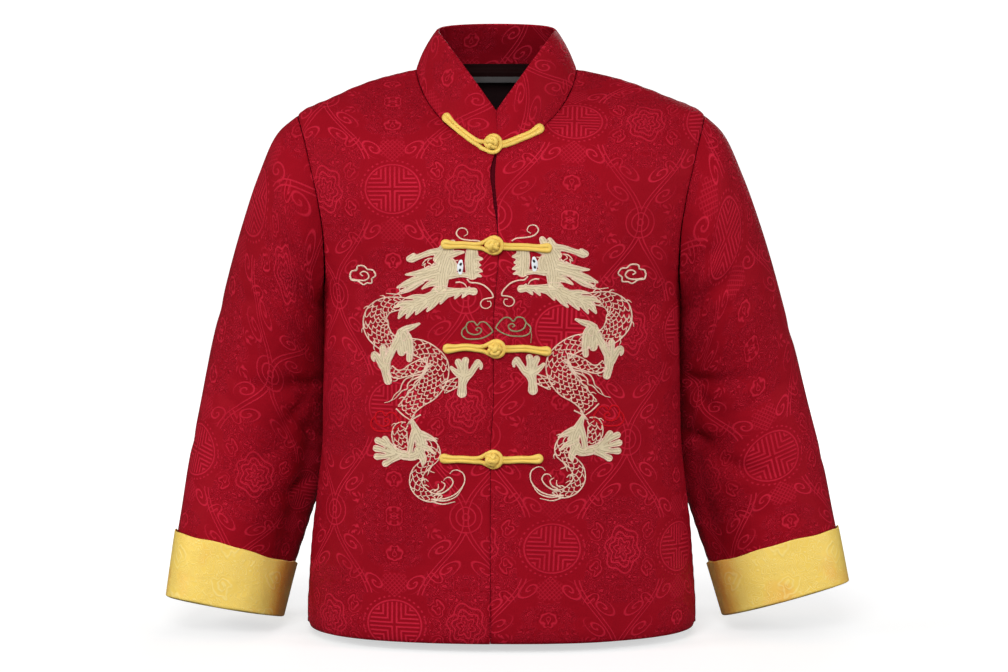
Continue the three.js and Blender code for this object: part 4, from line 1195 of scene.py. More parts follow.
def back_relief(x, z):
    """How far the face of the back lies below the smooth torso: folds and soft unevenness."""
    soft = 0.5 * np.sin(x / 21 + 1.2 * np.sin(z / 29)) * np.sin(z / 26 + 0.8 * np.sin(x / 24))
    return creases(BACK_FOLDS, x, z) + soft


turn, z = back_places(PANEL_COLUMNS)
smooth = torso(turn, z)
normal = outward(smooth)
cut = flat_places(np.where(turn > 180, turn - 360, turn), z)
half_round = flat_places(np.full_like(turn, 180.0), z)[..., 0]
cut[..., 0] -= np.where(turn > 180, -half_round, half_round)
side_edge = np.minimum(*(
    np.linalg.norm(smooth - edge, axis=-1) for edge in (smooth[:, :1], smooth[:, -1:])
))
top_edge = np.linalg.norm(smooth - smooth[-1:], axis=-1)
depth = back_relief(smooth[..., 0], z) * np.minimum(1, side_edge / 12)
depth = depth + seam_edge(side_edge, z, phase=2) + seam_edge(top_edge, smooth[..., 0], phase=1)
depth = depth + 0.9 * np.sin(smooth[..., 0] / 25 + 1) * np.exp(-(z - z[:1]) / 45)
outer = smooth - normal * depth[..., None]
inner = smooth - normal * (CLOTH + np.minimum(depth, 3)[..., None])
back = cloth_mesh("back_cloth", outer, inner, cut + (52, 40), [red_silk, dark_lining])
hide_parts("back")

# the lining is a little smaller all round, and hangs loosely just inside
LINING, LINING_GAP = 0.6, 0.9
within = (slice(4, None, 2), slice(2, -2, 2))
drape = 0.5 * np.sin(smooth[..., 0] / 17 + np.sin(z / 40)) + 0.3 * np.sin(z / 31)
lining_depth = CLOTH + SEAM + LINING_GAP + np.minimum(depth, 3) * np.minimum(1, top_edge / 25)
lining_depth = (lining_depth + 0.4 * drape)[..., None]
lining_outer = (smooth - normal * lining_depth)[within]
lining_inner = (smooth - normal * (lining_depth + LINING))[within]
back_lining = cloth_mesh(
    "back_lining_cloth", lining_outer, lining_inner, cut[within], [dark_lining], bulge=0.2
)
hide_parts("lining_back")

# ---------------------------------------------------------------- underlap
# A strip of dark silk sewn behind the opening, so that nothing shows where the fronts stand a
# little apart. It starts just above the hem and ends just below the collar.
UNDERLAP_WIDTH, UNDERLAP_FOOT_Z, UNDERLAP_TOP_Z = 34, HEM_Z + 6, -NECK_DROP - 5
UNDERLAP_DEPTH, UNDERLAP_CLOTH = CLOTH + 3 * SEAM + 0.4, 1.2


def laid_flat(grid, start=(0, 0)):
    """Rough flat places of a strip: lengths along its middle row and up its middle column."""
    rows, columns = grid.shape[:2]
    u = run_length(grid[rows // 2]) + start[0]
    v = run_length(grid[:, columns // 2]) + start[1]
    return np.stack(np.meshgrid(u, v), -1)


up, aside = np.linspace(0, 1, 90)[:, None], np.linspace(0, 1, 13)
z = UNDERLAP_FOOT_Z + (UNDERLAP_TOP_Z - UNDERLAP_FOOT_Z) * up + 0 * aside
x = reading(OPENING, 1, z) + (aside - 0.5) * UNDERLAP_WIDTH
surface = torso(turn_at(x, z), z)
into = outward(surface)
ripple = (0.3 * np.sin(z / 9 + np.sin(z / 23)))[..., None]
strip_outer = surface - into * (UNDERLAP_DEPTH + ripple)
strip_inner = surface - into * (UNDERLAP_DEPTH + UNDERLAP_CLOTH + ripple)
underlap_silk = damask(
    "underlap_silk", (0.075, 0.003, 0.008), (0.10, 0.005, 0.011), (0.05, 0.003, 0.006)
)
underlap = cloth_mesh(
    "underlap_cloth", strip_outer, strip_inner, laid_flat(strip_outer), [underlap_silk], bulge=0.3
)
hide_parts("underlap")

# ---------------------------------------------------------------- stand collar
# Two layers of damask over a stiff band, bagged out so that its edges are round, and sewn to the
# neckline. Its ends meet over the opening and leave a V above it.
COLLAR_HALF_WIDTH, COLLAR_FRONT, COLLAR_BACK = 50.5, 62, 44
COLLAR_FRONT_Z, COLLAR_SIDE_Z, COLLAR_BACK_Z = -34, 31, 37.5
COLLAR_MEETS_X, COLLAR_HEIGHT, COLLAR_ROWS, COLLAR_COLUMNS = -3.4, 38, 26, 241


def collar_place(angle, up, depth):
    """A point of the collar: the angle round the neck, how far up, and the depth inside it."""
    s, c = np.sin(np.radians(angle)), np.cos(np.radians(angle))
    is_front = c > 0
    x, z = neckline(angle)
    near = torso(turn_at(x, z), z)
    far = torso(angle, 0 * z)
    base = np.where(is_front[..., None], near, far)
    # behind the neck the foot reaches a little lower, over the back's raw edge
    base[..., 2] += 2 * SEAM - 1.3 * np.clip(0.5 - 2 * c, 0, 1)
    share = np.clip(angle / 90, -1, 1)
    top_x = NECK_MIDDLE + COLLAR_HALF_WIDTH * np.where(is_front, share, s)
    top_y = np.where(is_front, -COLLAR_FRONT * np.sqrt(1 - share**2), -COLLAR_BACK * c)
    front_z = COLLAR_FRONT_Z + (COLLAR_SIDE_Z - COLLAR_FRONT_Z) * np.abs(share)
    back_z = COLLAR_SIDE_Z + (COLLAR_BACK_Z - COLLAR_SIDE_Z) * np.maximum(-c, 0) ** 0.6
    top = np.stack([top_x, top_y, np.where(is_front, front_z, back_z)], -1)
    belly = 1.6 * np.sin(math.pi * np.maximum(up, 0)) - SEAM * (1 - up)
    out = np.stack([s, -c, 0 * s], -1)
    return base + (top - base) * up[..., None] + out * (belly - depth)[..., None]


def collar_face(depth, relief):
    """One face of the collar, from its end on the left front round the neck to the other end.
    Relief is the share of the outer face's dips and puckers that shows on it."""
    up = np.linspace(0, 1, COLLAR_ROWS)[:, None]
    round_it = np.linspace(0, 1, COLLAR_COLUMNS)
    up = up + 0 * round_it
    meets = OPENING[0, 1] + (COLLAR_MEETS_X - OPENING[0, 1]) * up - NECK_MIDDLE
    per_mm = 90 / (NECK_HALF_WIDTH * 1.5 + (COLLAR_HALF_WIDTH - NECK_HALF_WIDTH * 1.5) * up)
    start, end = (meets + 0.3) * per_mm, (meets - 0.3) * per_mm + 360
    angle = start + (end - start) * round_it
    angle = np.where(angle > 180, angle - 360, angle)
    soft = 0.35 * np.sin(angle / 11 + 2 * up) * np.sin(math.pi * up) + 0.2 * np.sin(angle / 4.3)
    dip = seam_edge(up * COLLAR_HEIGHT, angle * 1.1, 0.35, 1.6)
    dip = dip + 0.4 * np.exp(-(((1 - up) * COLLAR_HEIGHT / 2.5) ** 2))
    return collar_place(angle, up, depth + (dip + soft * 0.7) * relief)


collar_outer = collar_face(0, 1)
collar_inner = collar_face(CLOTH, -0.6)
collar_cut = laid_flat(collar_outer, (11, 33))
# the inner face is a darker copy of the same damask: painted shade where the collar's front keeps
# the light off its inside
shaded_facing_silk = damask(
    "red_facing_painted_shade", (0.205, 0.0034, 0.009), (0.33, 0.0098, 0.024), (0.12, 0.002, 0.005)
)
collar = cloth_mesh(
    "collar_cloth", collar_outer, collar_inner, collar_cut, [red_silk, shaded_facing_silk], bulge=1.0
)
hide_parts("collar")

# ---------------------------------------------------------------- neck band
# A bias band of dark red satin is sewn over the collar's seam inside the neck, with a narrow grey
# tape below it where the lining begins.
dark_satin = lining_cloth("dark_red_band", (0.006, 0.0012, 0.0012), (0.012, 0.0024, 0.0024))
grey_tape = lining_cloth("grey_tape", (0.055, 0.052, 0.052), (0.105, 0.10, 0.10))
# heights are shares of the collar's height, and the band runs from one shoulder to the other
BAND_TOP, BAND_FOOT, TAPE_FOOT = 0.14, -0.18, -0.27
BAND_DEPTH, BAND_CLOTH, SEAM_STEP = CLOTH + 0.45, 0.7, 2.4
BAND_START, BAND_END, BAND_ROWS, BAND_COLUMNS = 108, 252, 17, 81
band_up = np.linspace(BAND_TOP, TAPE_FOOT, BAND_ROWS)[:, None] + np.zeros(BAND_COLUMNS)
band_angle = np.linspace(BAND_START, BAND_END, BAND_COLUMNS)[None] + 0 * band_up
over_seam = SEAM_STEP * np.clip((0.03 - band_up) / 0.06, 0, 1)
band_outer = collar_place(band_angle, band_up, BAND_DEPTH + over_seam)
band_inner = collar_place(band_angle, band_up, BAND_DEPTH + BAND_CLOTH + over_seam)
neck_band = cloth_mesh(
    "neck_band_cloth", band_outer, band_inner, laid_flat(band_outer), [dark_satin], bulge=0.2
)
neck_band.data.materials.append(grey_tape)
for face in neck_band.data.polygons:
    below = sum(neck_band.data.vertices[v].co.z for v in face.vertices) / len(face.vertices)
    face.material_index = int(below * 1000 < BAND_FOOT * (COLLAR_BACK_Z - 1))
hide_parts("neck_facing")

# ---------------------------------------------------------------- sleeves
# Each set-in sleeve is one padded piece, sewn along the underarm and into the armhole. It hangs
# outwards and a little forwards, with folds under the arm and at the bend of the elbow.

# Each row is the outermost x and z, the innermost x and z, the middle's y, half the depth and
# how much higher the front is. Both sleeves are written as if they were on +X.
SLEEVES = {
    "right": np.array([
        (187, -54, 150, -204, 5, 57, 0), (203, -88, 150, -221, 12, 58, 0),
        (216, -126, 150, -241, 19, 58, 0), (229.5, -170, 149, -265, 25, 57, 0),
        (241, -216, 149, -290, 30, 55, 0), (251.5, -263, 149, -318, 32, 54, 0),
        (260, -307, 153.5, -350, 29, 53, 2), (267.5, -348, 164, -383, 24, 51, 5),
        (274, -390, 174.5, -418, 18, 50, 8), (281.8, -447, 186.3, -464, 12, 49, 8),
    ]),
    "left": np.array([
        (186.5, -54, 151, -204, 5, 57, 0), (203, -88, 151, -221, 12, 58, 0),
        (217, -126, 151, -241, 19, 58, 0), (231.5, -170, 151, -265, 25, 57, 0),
        (244, -216, 151, -290, 30, 55, 0), (256.5, -263, 151, -318, 32, 54, 0),
        (267.5, -307, 155, -350, 29, 53, 2), (276.5, -346, 165, -383, 24, 52, 5),
        (284.5, -387, 176.5, -418, 18, 51, 8), (293.2, -434, 190.2, -463, 12, 50, 8),
    ]),
}
# Folds, first the large ones and then the fine ones: place along (0 armhole, 1 wrist), angle
# round (0 outside, 90 front, 180 inside), slant in radians, half length, half width and depth.
SLEEVE_FOLDS = {
    "right": [
        (0.2, 118, 0.9, 46, 9, 5), (0.46, 128, 0.7, 36, 8, 5.5), (0.56, 146, -0.3, 28, 7, 4.5),
        (0.5, 238, -0.6, 34, 8, 3), (0.32, 192, 1.57, 130, 27, -3.6), (0.72, 150, 0.5, 26, 8, 3),
        (0.74, 154, 1.57, 105, 26, 11), (0.7, 200, 1.57, 100, 20, -4), (0.53, 128, 1.05, 34, 7, 4),
    ],
    "left": [
        (0.22, 116, 0.8, 42, 9, 4.5), (0.44, 132, 0.8, 34, 8, 5), (0.6, 140, 0.5, 30, 8, 5.5),
        (0.5, 242, -0.5, 34, 8, 3), (0.32, 192, 1.57, 130, 27, -3.2), (0.68, 112, 0.9, 24, 7, 3),
        (0.72, 154, 1.57, 100, 26, 11), (0.68, 200, 1.57, 100, 20, -4), (0.5, 130, 1.0, 32, 7, 4),
    ],
}
FINE_FOLDS = {
    "right": [
        (0.1, 60, 1.2, 40, 6, 1.4), (0.14, 100, 1.0, 46, 6, 1.6), (0.3, 96, 0.8, 40, 7, 1.6),
        (0.38, 70, 0.5, 36, 6, 1.2), (0.52, 100, 0.4, 40, 6, 1.7), (0.6, 66, -0.2, 34, 6, 1.2),
        (0.66, 104, 0.9, 34, 6, 1.5), (0.8, 84, 0.3, 40, 7, 1.3), (0.2, 260, -0.9, 42, 7, 1.6),
        (0.36, 290, -0.6, 40, 7, 1.4), (0.62, 262, -0.4, 42, 7, 1.6), (0.78, 288, 0.4, 38, 7, 1.2),
        (0.45, 20, 0.5, 36, 7, 1.0), (0.7, 350, -0.4, 34, 7, 1.0),
    ],
    "left": [
        (0.09, 64, 1.1, 38, 6, 1.3), (0.15, 98, 1.1, 44, 6, 1.7), (0.28, 92, 0.7, 42, 7, 1.5),
        (0.36, 74, 0.6, 34, 6, 1.3), (0.5, 96, 0.6, 42, 6, 1.8), (0.58, 70, 0.1, 36, 6, 1.2),
        (0.7, 100, 0.7, 36, 6, 1.4), (0.84, 80, 0.4, 38, 7, 1.2), (0.22, 264, -0.8, 40, 7, 1.5),
        (0.4, 286, -0.7, 42, 7, 1.5), (0.6, 258, -0.3, 40, 7, 1.5), (0.8, 284, 0.3, 36, 7, 1.3),
        (0.5, 14, 0.4, 36, 7, 1.0), (0.74, 344, -0.3, 32, 7, 1.0),
    ],
}
# The angles round a sleeve at which its points lie, the angle of its own seam, and rough lengths
# along and round it for folds and cut.
AROUNDS, SLEEVE_SEAM = np.linspace(0, 360, 151)[:-1], 192
SLEEVE_ROWS, SLEEVE_END, SLEEVE_LENGTH, MM_PER_DEGREE, CUT_PER_DEGREE = 176, 0.982, 400, 0.9, 0.92


def sleeve_smooth(name, along):
    """The sleeve's smooth surface at places along it, and its inward directions."""
    side = -1 if name == "right" else 1
    s, c = np.sin(np.radians(AROUNDS)), np.cos(np.radians(AROUNDS))
    turn, start_z = armhole_turn(np.minimum(AROUNDS, 360 - AROUNDS))
    start = torso(side * np.where(AROUNDS <= 180, turn, 180 - turn), start_z)
    start[:, 0] = side * start[:, 0] + SEAM
    start[np.abs(s) < 1e-9, 1] = 0
    out_x, out_z, in_x, in_z, middle_y, half_depth, lift = SLEEVES[name].T[:, :, None]
    x = in_x + (out_x - in_x) * (1 + c) / 2
    z = in_z + (out_z - in_z) * (1 + c) / 2 + lift * s
    knots = np.concatenate([start[None], np.stack([x, middle_y - half_depth * s, z], -1)])
    step = 0.002
    here = smooth_curves(knots, along)
    down = smooth_curves(knots, along + step) - smooth_curves(knots, along - step)
    across = np.roll(here, -1, axis=1) - np.roll(here, 1, axis=1)
    inward = np.cross(across, down)
    inward /= np.linalg.norm(inward, axis=-1, keepdims=True)
    middle = np.roll(here, len(AROUNDS) // 2, axis=1) - here
    inward = np.where(np.sum(inward * middle, -1, keepdims=True) < 0, -inward, inward)
    at_seam = (along < 0.004)[:, None]
    inward[..., 0] = np.where(at_seam, np.maximum(0, inward[..., 0]), inward[..., 0])
    return here, inward / np.linalg.norm(inward, axis=-1, keepdims=True)


def sleeve_relief(name, along):
    """How far the folds press into a sleeve."""
    total = np.zeros((len(along), len(AROUNDS)))
    for place, around, slant, reach, width, depth in SLEEVE_FOLDS[name] + FINE_FOLDS[name]:
        ahead = (along[:, None] - place) * SLEEVE_LENGTH
        round_it = ((AROUNDS[None] - around + 540) % 360 - 180) * MM_PER_DEGREE
        lengthwise = ahead * math.cos(slant) + round_it * math.sin(slant)
        sideways = -ahead * math.sin(slant) + round_it * math.cos(slant)
        total += depth * np.exp(-((sideways / reach) ** 2) - (lengthwise / width) ** 2)
    return total


def on_side(name, grid):
    """The points moved to the sleeve's own side."""
    return grid * (-1 if name == "right" else 1, 1, 1)


def sleeve_piece(name, shift):
    """A sleeve. Shift says where on the bolt of damask it was cut."""
    along = np.linspace(0, SLEEVE_END, SLEEVE_ROWS)
    here, inward = sleeve_smooth(name, along)
    length = run_length(here.mean(1))
    down = length[:, None]
    depth = sleeve_relief(name, along)
    soft = np.sin(AROUNDS[None] / 19 + down / 33) * np.sin(down / 22)
    depth += 0.5 * soft * np.minimum(1, down / 20)
    depth += seam_edge(down + 0 * AROUNDS, AROUNDS[None] * 1.3, 0.5, 2.2)
    from_seam = np.abs((AROUNDS - SLEEVE_SEAM + 180) % 360 - 180)[None] + 0 * down
    depth += seam_edge(from_seam * MM_PER_DEGREE, down, 0.9, 2.2) * np.minimum(1, down / 15)
    outer = on_side(name, here + inward * depth[..., None])
    inner = on_side(name, here + inward * (depth + CLOTH)[..., None])
    u = (np.append(AROUNDS, 360) - 90) * CUT_PER_DEGREE
    flat = np.stack(np.meshgrid(u, -length), -1) - np.array(shift)
    piece = cloth_mesh(
        "sleeve_%s_cloth" % name, outer, inner, flat, [red_silk, dark_lining], tube=True
    )
    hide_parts("sleeve_" + name)
    return piece


for name, shift in (("right", (64, -60)), ("left", (-15, -229))):
    piece = sleeve_piece(name, shift)

# ---------------------------------------------------------------- cuffs
# A wide band of yellow brocade folded round each sleeve's end: a deep turn-back outside, which
# stands a little off the sleeve's front, and a narrow hem inside.
CUFF_START, CUFF_TURN, CUFF_HEM, CUFF_BEND = 0.9, 0.9945, 0.955, 0.0045
CUFF_OUTSIDE, CUFF_INSIDE, CUFF_CLOTH, CUFF_STANDS_OFF = -1.4, 4.6, 1.2, 5.5


def brocade():
    """Yellow satin brocade with slightly lighter scrolls and orange patches, and an orange band of
    painted reflected red light and painted shade along the wrist's inner side, facing the body."""
    material, tree, cloth = new_material("gold_damask")
    work = calculator(tree)
    inner_side_u = 0.066
    orange, reflected_red_orange, pale_gold = (0.78, 0.34, 0.06), (0.82, 0.36, 0.045), (0.86, 0.70, 0.27)
    cut = cut_place(tree)
    scrolls = placed_group(tree, SCROLLS, cut, Fineness=1)
    base = mixed(tree, cloudy(tree, 14), (0.84, 0.61, 0.13), (0.78, 0.51, 0.09))
    patch = work("MULTIPLY_ADD", cloudy(tree, 22, 2), 7, -4.1, clamp=True)
    base = mixed(tree, work("MULTIPLY", patch, 0.5), base, orange)
    # painted reflected red light and shade: an orange band, broken up by noise, where the cuff's
    # inner edge faces the red sleeve and body
    from_inner_side = work("ABSOLUTE", work("SUBTRACT", split_up(tree, cut)[0], inner_side_u))
    painted_reflection_band = work("MULTIPLY_ADD", from_inner_side, -60, 1.7, clamp=True)
    reflection_patchiness = work("MULTIPLY_ADD", cloudy(tree, 48, 3), 2.6, -0.35, clamp=True)
    base = mixed(tree, work("MULTIPLY", painted_reflection_band, reflection_patchiness), base, reflected_red_orange)
    worn = work("MULTIPLY", cloudy(tree, 40), 0.9, clamp=True)
    share = work("MULTIPLY", scrolls["Figure"], worn)
    tree.links.new(mixed(tree, share, base, pale_gold), cloth.inputs["Base Color"])
    gloss = work("MULTIPLY_ADD", scrolls["Figure"], 0.12, 0.4)
    tree.links.new(gloss, cloth.inputs["Roughness"])
    raised = work("MULTIPLY_ADD", scrolls["Weave"], 0.06, scrolls["Figure"])
    creased = bumped(tree, cloudy(tree, 34, 4), 0.005, 0.4)
    tree.links.new(bumped(tree, raised, 0.0003, 0.45, creased), cloth.inputs["Normal"])
    cloth.inputs["Specular IOR Level"].default_value = 0.3
    cloth.inputs["Specular Tint"].default_value = (1, 0.85, 0.5, 1)
    return material


gold_silk = brocade()


def cuff_piece(name):
    """A cuff, row by row down its outside, round the turned edge and up its hem inside."""
    bend = np.linspace(0, math.pi, 12)[1:-1]
    middle, half = (CUFF_INSIDE + CUFF_OUTSIDE) / 2, (CUFF_INSIDE - CUFF_OUTSIDE) / 2
    path = [(a, CUFF_OUTSIDE) for a in np.linspace(CUFF_START, CUFF_TURN, 44)]
    path += [(CUFF_TURN + CUFF_BEND * math.sin(b), middle - half * math.cos(b)) for b in bend]
    path += [(a, CUFF_INSIDE) for a in np.linspace(CUFF_TURN, CUFF_HEM, 16)]
    along, cloth_depth = np.array(path).T
    here, inward = sleeve_smooth(name, along)
    length = run_length(here.mean(1))
    ripple = 0.35 * np.sin(AROUNDS[None] / 8.5 + 1.5 * np.sin(AROUNDS[None] / 37))
    ripple = ripple * np.exp(-length / 14)[:, None]
    depth = cloth_depth[:, None] + sleeve_relief(name, along) * 0.6 + ripple
    corners = np.where(AROUNDS < 180, np.sin(np.radians(2 * AROUNDS)) ** 2, 0)
    depth -= CUFF_STANDS_OFF * corners * np.clip(cloth_depth / CUFF_OUTSIDE, 0, 1)[:, None]
    wave = 0.6 * np.sin(AROUNDS / 13 + 1) + 0.35 * np.sin(AROUNDS / 5.3)
    here = here + (0, 0, 1) * (wave * np.exp(-length / 9)[:, None])[..., None]
    outer = on_side(name, here + inward * (depth - CUFF_CLOTH / 2)[..., None])
    inner = on_side(name, here + inward * (depth + CUFF_CLOTH / 2)[..., None])
    u = (np.append(AROUNDS, 360) - 90) * MM_PER_DEGREE
    flat = np.stack(np.meshgrid(u, -length), -1)
    piece = cloth_mesh(
        "cuff_%s_cloth" % name, outer, inner, flat, [gold_silk], tube=True, bulge=0.4
    )
    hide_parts("cuff_" + name)
    return piece


for name in ("right", "left"):
    piece = cuff_piece(name)

# ---------------------------------------------------------------- frog fastenings
# Four frogs of padded satin cord, hand sewn across the opening. One half ends in a loop round the
# other half's woven button knot.
CORD_RADIUS, CORD_STEP, CORD_SIDES = 1.75, 0.9, 14
KNOT_RADIUS, KNOT_CORD_RADIUS, KNOT_LIFT, KNOT_TILT = 3.7, 2.1, 5.4, 58
CORE_RING_RADIUS, CORE_RADIUS = 1.6, 1.9
RING_RADIUS, RING_OFFSET, RING_HALF_ANGLE = 6.3, 1.3, 128
# Each row is the knot's place, the outer ends of the loop half and of the knot half, how far the
# straps sag on their way, how far the loop half's end is lifted and how the knot leans.
FROGS = [
    ((-7.5, -61.5), (-44, -42), (32, -49), 2.0, 2.4, (24, 18)),
    ((-6.6, -141), (-44.5, -140), (38, -143), 0.6, 0, (-20, 30)),
    ((-4.7, -224), (-43, -224), (37.5, -226), -0.8, 0, (16, -34)),
    ((-7, -313.5), (-46, -313), (31, -313), 0.8, 0, (-26, -20)),
]


def cord_material():
    """Bias-cut satin wrapped round a cord: fine slanting ribs and a soft shine."""
    material, tree, cord = new_material("gold_cord")
    work = calculator(tree)
    rib_pitch = 0.0009
    u, v = split_up(tree, cut_place(tree))
    slant = work("ADD", u, work("MULTIPLY", v, 0.7))
    ribs = work("SINE", work("MULTIPLY", slant, math.tau / rib_pitch))
    clouds = cloudy(tree, 120, 4)
    share = work("MULTIPLY_ADD", ribs, 0.12, clouds, clamp=True)
    base = mixed(tree, share, (0.83, 0.60, 0.13), (0.72, 0.44, 0.065))
    tree.links.new(base, cord.inputs["Base Color"])
    tree.links.new(work("MULTIPLY_ADD", clouds, 0.2, 0.38), cord.inputs["Roughness"])
    creased = bumped(tree, cloudy(tree, 420, 3), 0.0008, 0.3)
    tree.links.new(bumped(tree, ribs, 0.0002, 0.4, creased), cord.inputs["Normal"])
    cord.inputs["Sheen Weight"].default_value = 0.12
    cord.inputs["Sheen Tint"].default_value = (1, 0.8, 0.4, 1)
    cord.inputs["Specular IOR Level"].default_value = 0.45
    return material


gold_cord = cord_material()


def closed_tube(path, radius):
    """A ring of cord through points in space, as vertices, faces and flat places."""
    sides = CORD_SIDES
    path, radius = np.asarray(path), np.broadcast_to(radius, len(path))
    along = np.roll(path, -1, axis=0) - np.roll(path, 1, axis=0)
    along /= np.linalg.norm(along, axis=1, keepdims=True)
    out = np.zeros_like(path)
    normal = np.cross(along[0], (0.31, 0.52, 0.79))
    for i, ahead in enumerate(along):
        normal = normal - ahead * normal.dot(ahead)
        normal /= np.linalg.norm(normal)
        out[i] = normal
    last = normal - along[0] * normal.dot(along[0])
    last /= np.linalg.norm(last)
    twist = math.atan2(np.cross(last, out[0]).dot(along[0]), last.dot(out[0]))
    other = np.cross(along, out)
    turn = np.arange(sides) * math.tau / sides + (np.arange(len(path)) / len(path) * twist)[:, None]
    around = out[:, None] * np.cos(turn)[..., None] + other[:, None] * np.sin(turn)[..., None]
    points = (path[:, None] + around * radius[:, None, None]).reshape(-1, 3)
    i, k = [v.ravel() for v in np.meshgrid(np.arange(len(path)), np.arange(sides), indexing="ij")]
    i2, k2 = (i + 1) % len(path), (k + 1) % sides
    faces = np.stack([i * sides + k, i * sides + k2, i2 * sides + k2, i2 * sides + k], 1)
    u = run_length(np.concatenate([path, path[:1]]))
    v = np.arange(sides + 1) * math.tau * radius.mean() / sides
    corners = ((i, k), (i, k + 1), (i + 1, k + 1), (i + 1, k))
    return points, faces, np.stack([np.stack([u[a], v[b]], 1) for a, b in corners], 1)


def knot_path(centre, lean):
    """The button knot's cord: three turns round a ball, woven over and under itself."""
    t = np.linspace(0, math.tau, 241)[:-1]
    round_it, up = 3 * t, math.radians(KNOT_TILT) * np.cos(4 * t)
    out = KNOT_RADIUS + 0.62 * np.sin(8 * t)
    ball = np.stack([np.cos(up) * np.cos(round_it), -np.sin(up), np.cos(up) * np.sin(round_it)], 1)
    ball = ball * out[:, None]
    a, b = np.radians(lean)
    about_x = np.array([(1, 0, 0), (0, math.cos(a), -math.sin(a)), (0, math.sin(a), math.cos(a))])
    about_z = np.array([(math.cos(b), -math.sin(b), 0), (math.sin(b), math.cos(b), 0), (0, 0, 1)])
    return centre + ball @ (about_x @ about_z).T * (1, 0.86, 1)


def strap_path(start, end, sag, first_gap, end_lift=0):
    """A doubled cord: out along its upper side, round its folded end and back along the lower
    side, given as places on the cloth and lifts."""
    half_gap, cord_lift, end_reach, wobble, waves = 1.3, 1.6, 5, 0.35, 9
    start, end = np.array(start, float), np.array(end, float)
    length = np.linalg.norm(end - start)
    ahead = (end - start) / length
    aside = np.array([-ahead[1], ahead[0]])
    down = np.array([0, -1.0])
    s = np.linspace(0, 1, int(length) + 1)
    from_end = (1 - s) * length
    middle = start + (end - start) * s[:, None] + down * (sag * np.sin(math.pi * s))[:, None]
    middle = middle + down * (wobble * np.sin(s * waves))[:, None]
    fuller = 0.5 * np.exp(-((from_end / end_reach) ** 2))
    gap = first_gap * np.exp(-s * length / 2.6) + half_gap + fuller
    lift = cord_lift + fuller + end_lift * np.exp(-((from_end / 12) ** 2))
    upper = np.column_stack([middle + aside * gap[:, None], lift])
    lower = np.column_stack([middle - aside * gap[:, None], lift])
    bend = np.radians(np.linspace(90, -90, 9))[1:-1]
    tip = end + down * wobble * math.sin(waves)
    fold = [tip + ahead * 1.2 * math.cos(b) + aside * gap[-1] * math.sin(b) for b in bend]
    fold = np.column_stack([fold, lift[-1] - 0.4 * np.cos(bend)])
    return np.concatenate([upper, fold, lower[::-1]])


def frog_piece(name, node, tubes):
    """One half of a frog from its cords, each a path of points in space and a radius."""
    points, faces, flats, start = [], [], [], 0
    for path, radius in tubes:
        p, f, flat = closed_tube(path, radius)
        points.append(p)
        faces.append(f + start)
        flats.append(flat)
        start += len(p)
    points, faces, flats = (np.concatenate(v) for v in (points, faces, flats))
    kinds = np.zeros(len(faces), int)
    piece = new_piece(name, points, faces.tolist(), flats, [gold_cord], kinds)
    bpy.ops.object.select_all(action="DESELECT")
    piece.select_set(True)
    bpy.context.view_layer.objects.active = piece
    bpy.ops.object.mode_set(mode="EDIT")
    bpy.ops.mesh.select_all(action="SELECT")
    bpy.ops.mesh.normals_make_consistent(inside=False)
    bpy.ops.object.mode_set(mode="OBJECT")
    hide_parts(node)
    return piece


def laid_on(path):
    """Places on the cloth and lifts as points in space."""
    return on_front(path[:, 0], path[:, 1], path[:, 2])


def evened(path):
    """The same closed path with its points at even distances."""
    closed = np.concatenate([path, path[:1]])
    length = run_length(closed)
    at = np.linspace(0, length[-1], int(length[-1] / CORD_STEP) + 1)[:-1]
    even = np.stack([np.interp(at, length, closed[:, k]) for k in range(3)], 1)
    for _ in range(2):
        even = (np.roll(even, 1, axis=0) + 2 * even + np.roll(even, -1, axis=0)) / 4
    return even


def cord_radius(path, end):
    """The strap's folded end is a little fatter than the rest."""
    away = np.linalg.norm(path[:, :2] - end, axis=1)
    return CORD_RADIUS + 0.75 * np.exp(-((away / 4.5) ** 2))


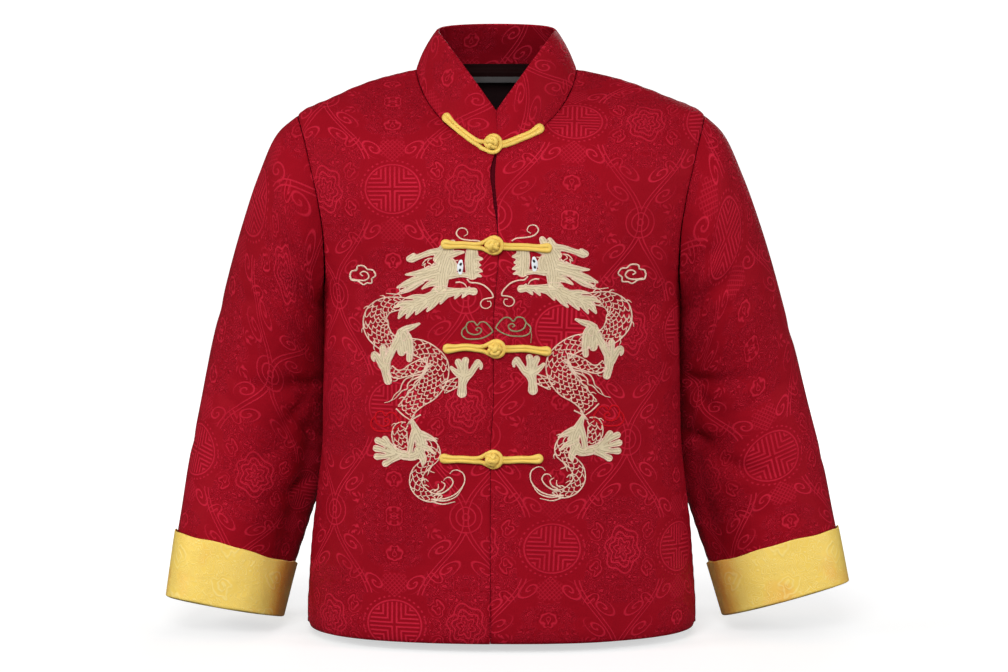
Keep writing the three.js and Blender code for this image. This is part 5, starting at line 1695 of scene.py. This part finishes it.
for number, (centre, loop_end, knot_end, sag, end_lift, lean) in enumerate(FROGS, start=1):
    centre = np.array(centre)
    angles = np.radians(np.linspace(-RING_HALF_ANGLE, RING_HALF_ANGLE, 30))
    ring = RING_RADIUS * np.stack([np.cos(angles), np.sin(angles)], 1) + centre + (RING_OFFSET, 0)
    ring = np.column_stack([ring, 2.2 + 1.3 * np.cos(angles / 1.6)])
    loop = strap_path(centre + (-6.5, 0), loop_end, sag, 1.6, end_lift)
    # the strap heads towards -X, so its upper side comes out below: the ring is turned to match
    loop = evened(np.concatenate([loop, ring[::-1] if loop[-1, 1] > loop[0, 1] else ring]))
    loop_tubes = [(laid_on(loop), cord_radius(loop, loop_end))]
    frog_piece("frog_%d_loop_cord" % number, "frog_%d_loop" % number, loop_tubes)
    knot_strap = strap_path(centre + (4.5, 0), knot_end, sag, 0.2)
    away = np.linalg.norm(knot_strap[:, :2] - centre, axis=1)
    knot_strap[:, 2] *= np.clip(0.55 + away / 30, 0, 1)
    knot_strap = evened(knot_strap)
    ball_centre = on_front(centre[:1], centre[1:], np.array([KNOT_LIFT]))[0]
    core_turn = np.linspace(0, math.tau, 13)[:-1]
    core = np.stack([np.cos(core_turn), 0 * core_turn, np.sin(core_turn)], 1)
    knot_tubes = [
        (laid_on(knot_strap), cord_radius(knot_strap, knot_end)),
        (knot_path(ball_centre, lean), KNOT_CORD_RADIUS),
        (ball_centre + CORE_RING_RADIUS * core, CORE_RADIUS),
    ]
    frog_piece("frog_%d_knot_cord" % number, "frog_%d_knot" % number, knot_tubes)

# ---------------------------------------------------------------- the fronts as sewn
# The embroidery, clouds and frogs sewn to each front are looked up here by name, once all of
# them have been made.
for panel, area, side, half in (
    (front_right, 0.0785, "right", "loop"), (front_left, 0.0845, "left", "knot"),
):
    sewn_on = ["dragon_%s_embroidery" % side]
    sewn_on += ["cloud_%s_%s" % (colour, side) for colour in ("cream", "green", "red")]
    sewn_on += ["frog_%d_%s_cord" % (number, half) for number in range(1, len(FROGS) + 1)]
    sewn_on = [bpy.data.objects[piece] for piece in sewn_on]
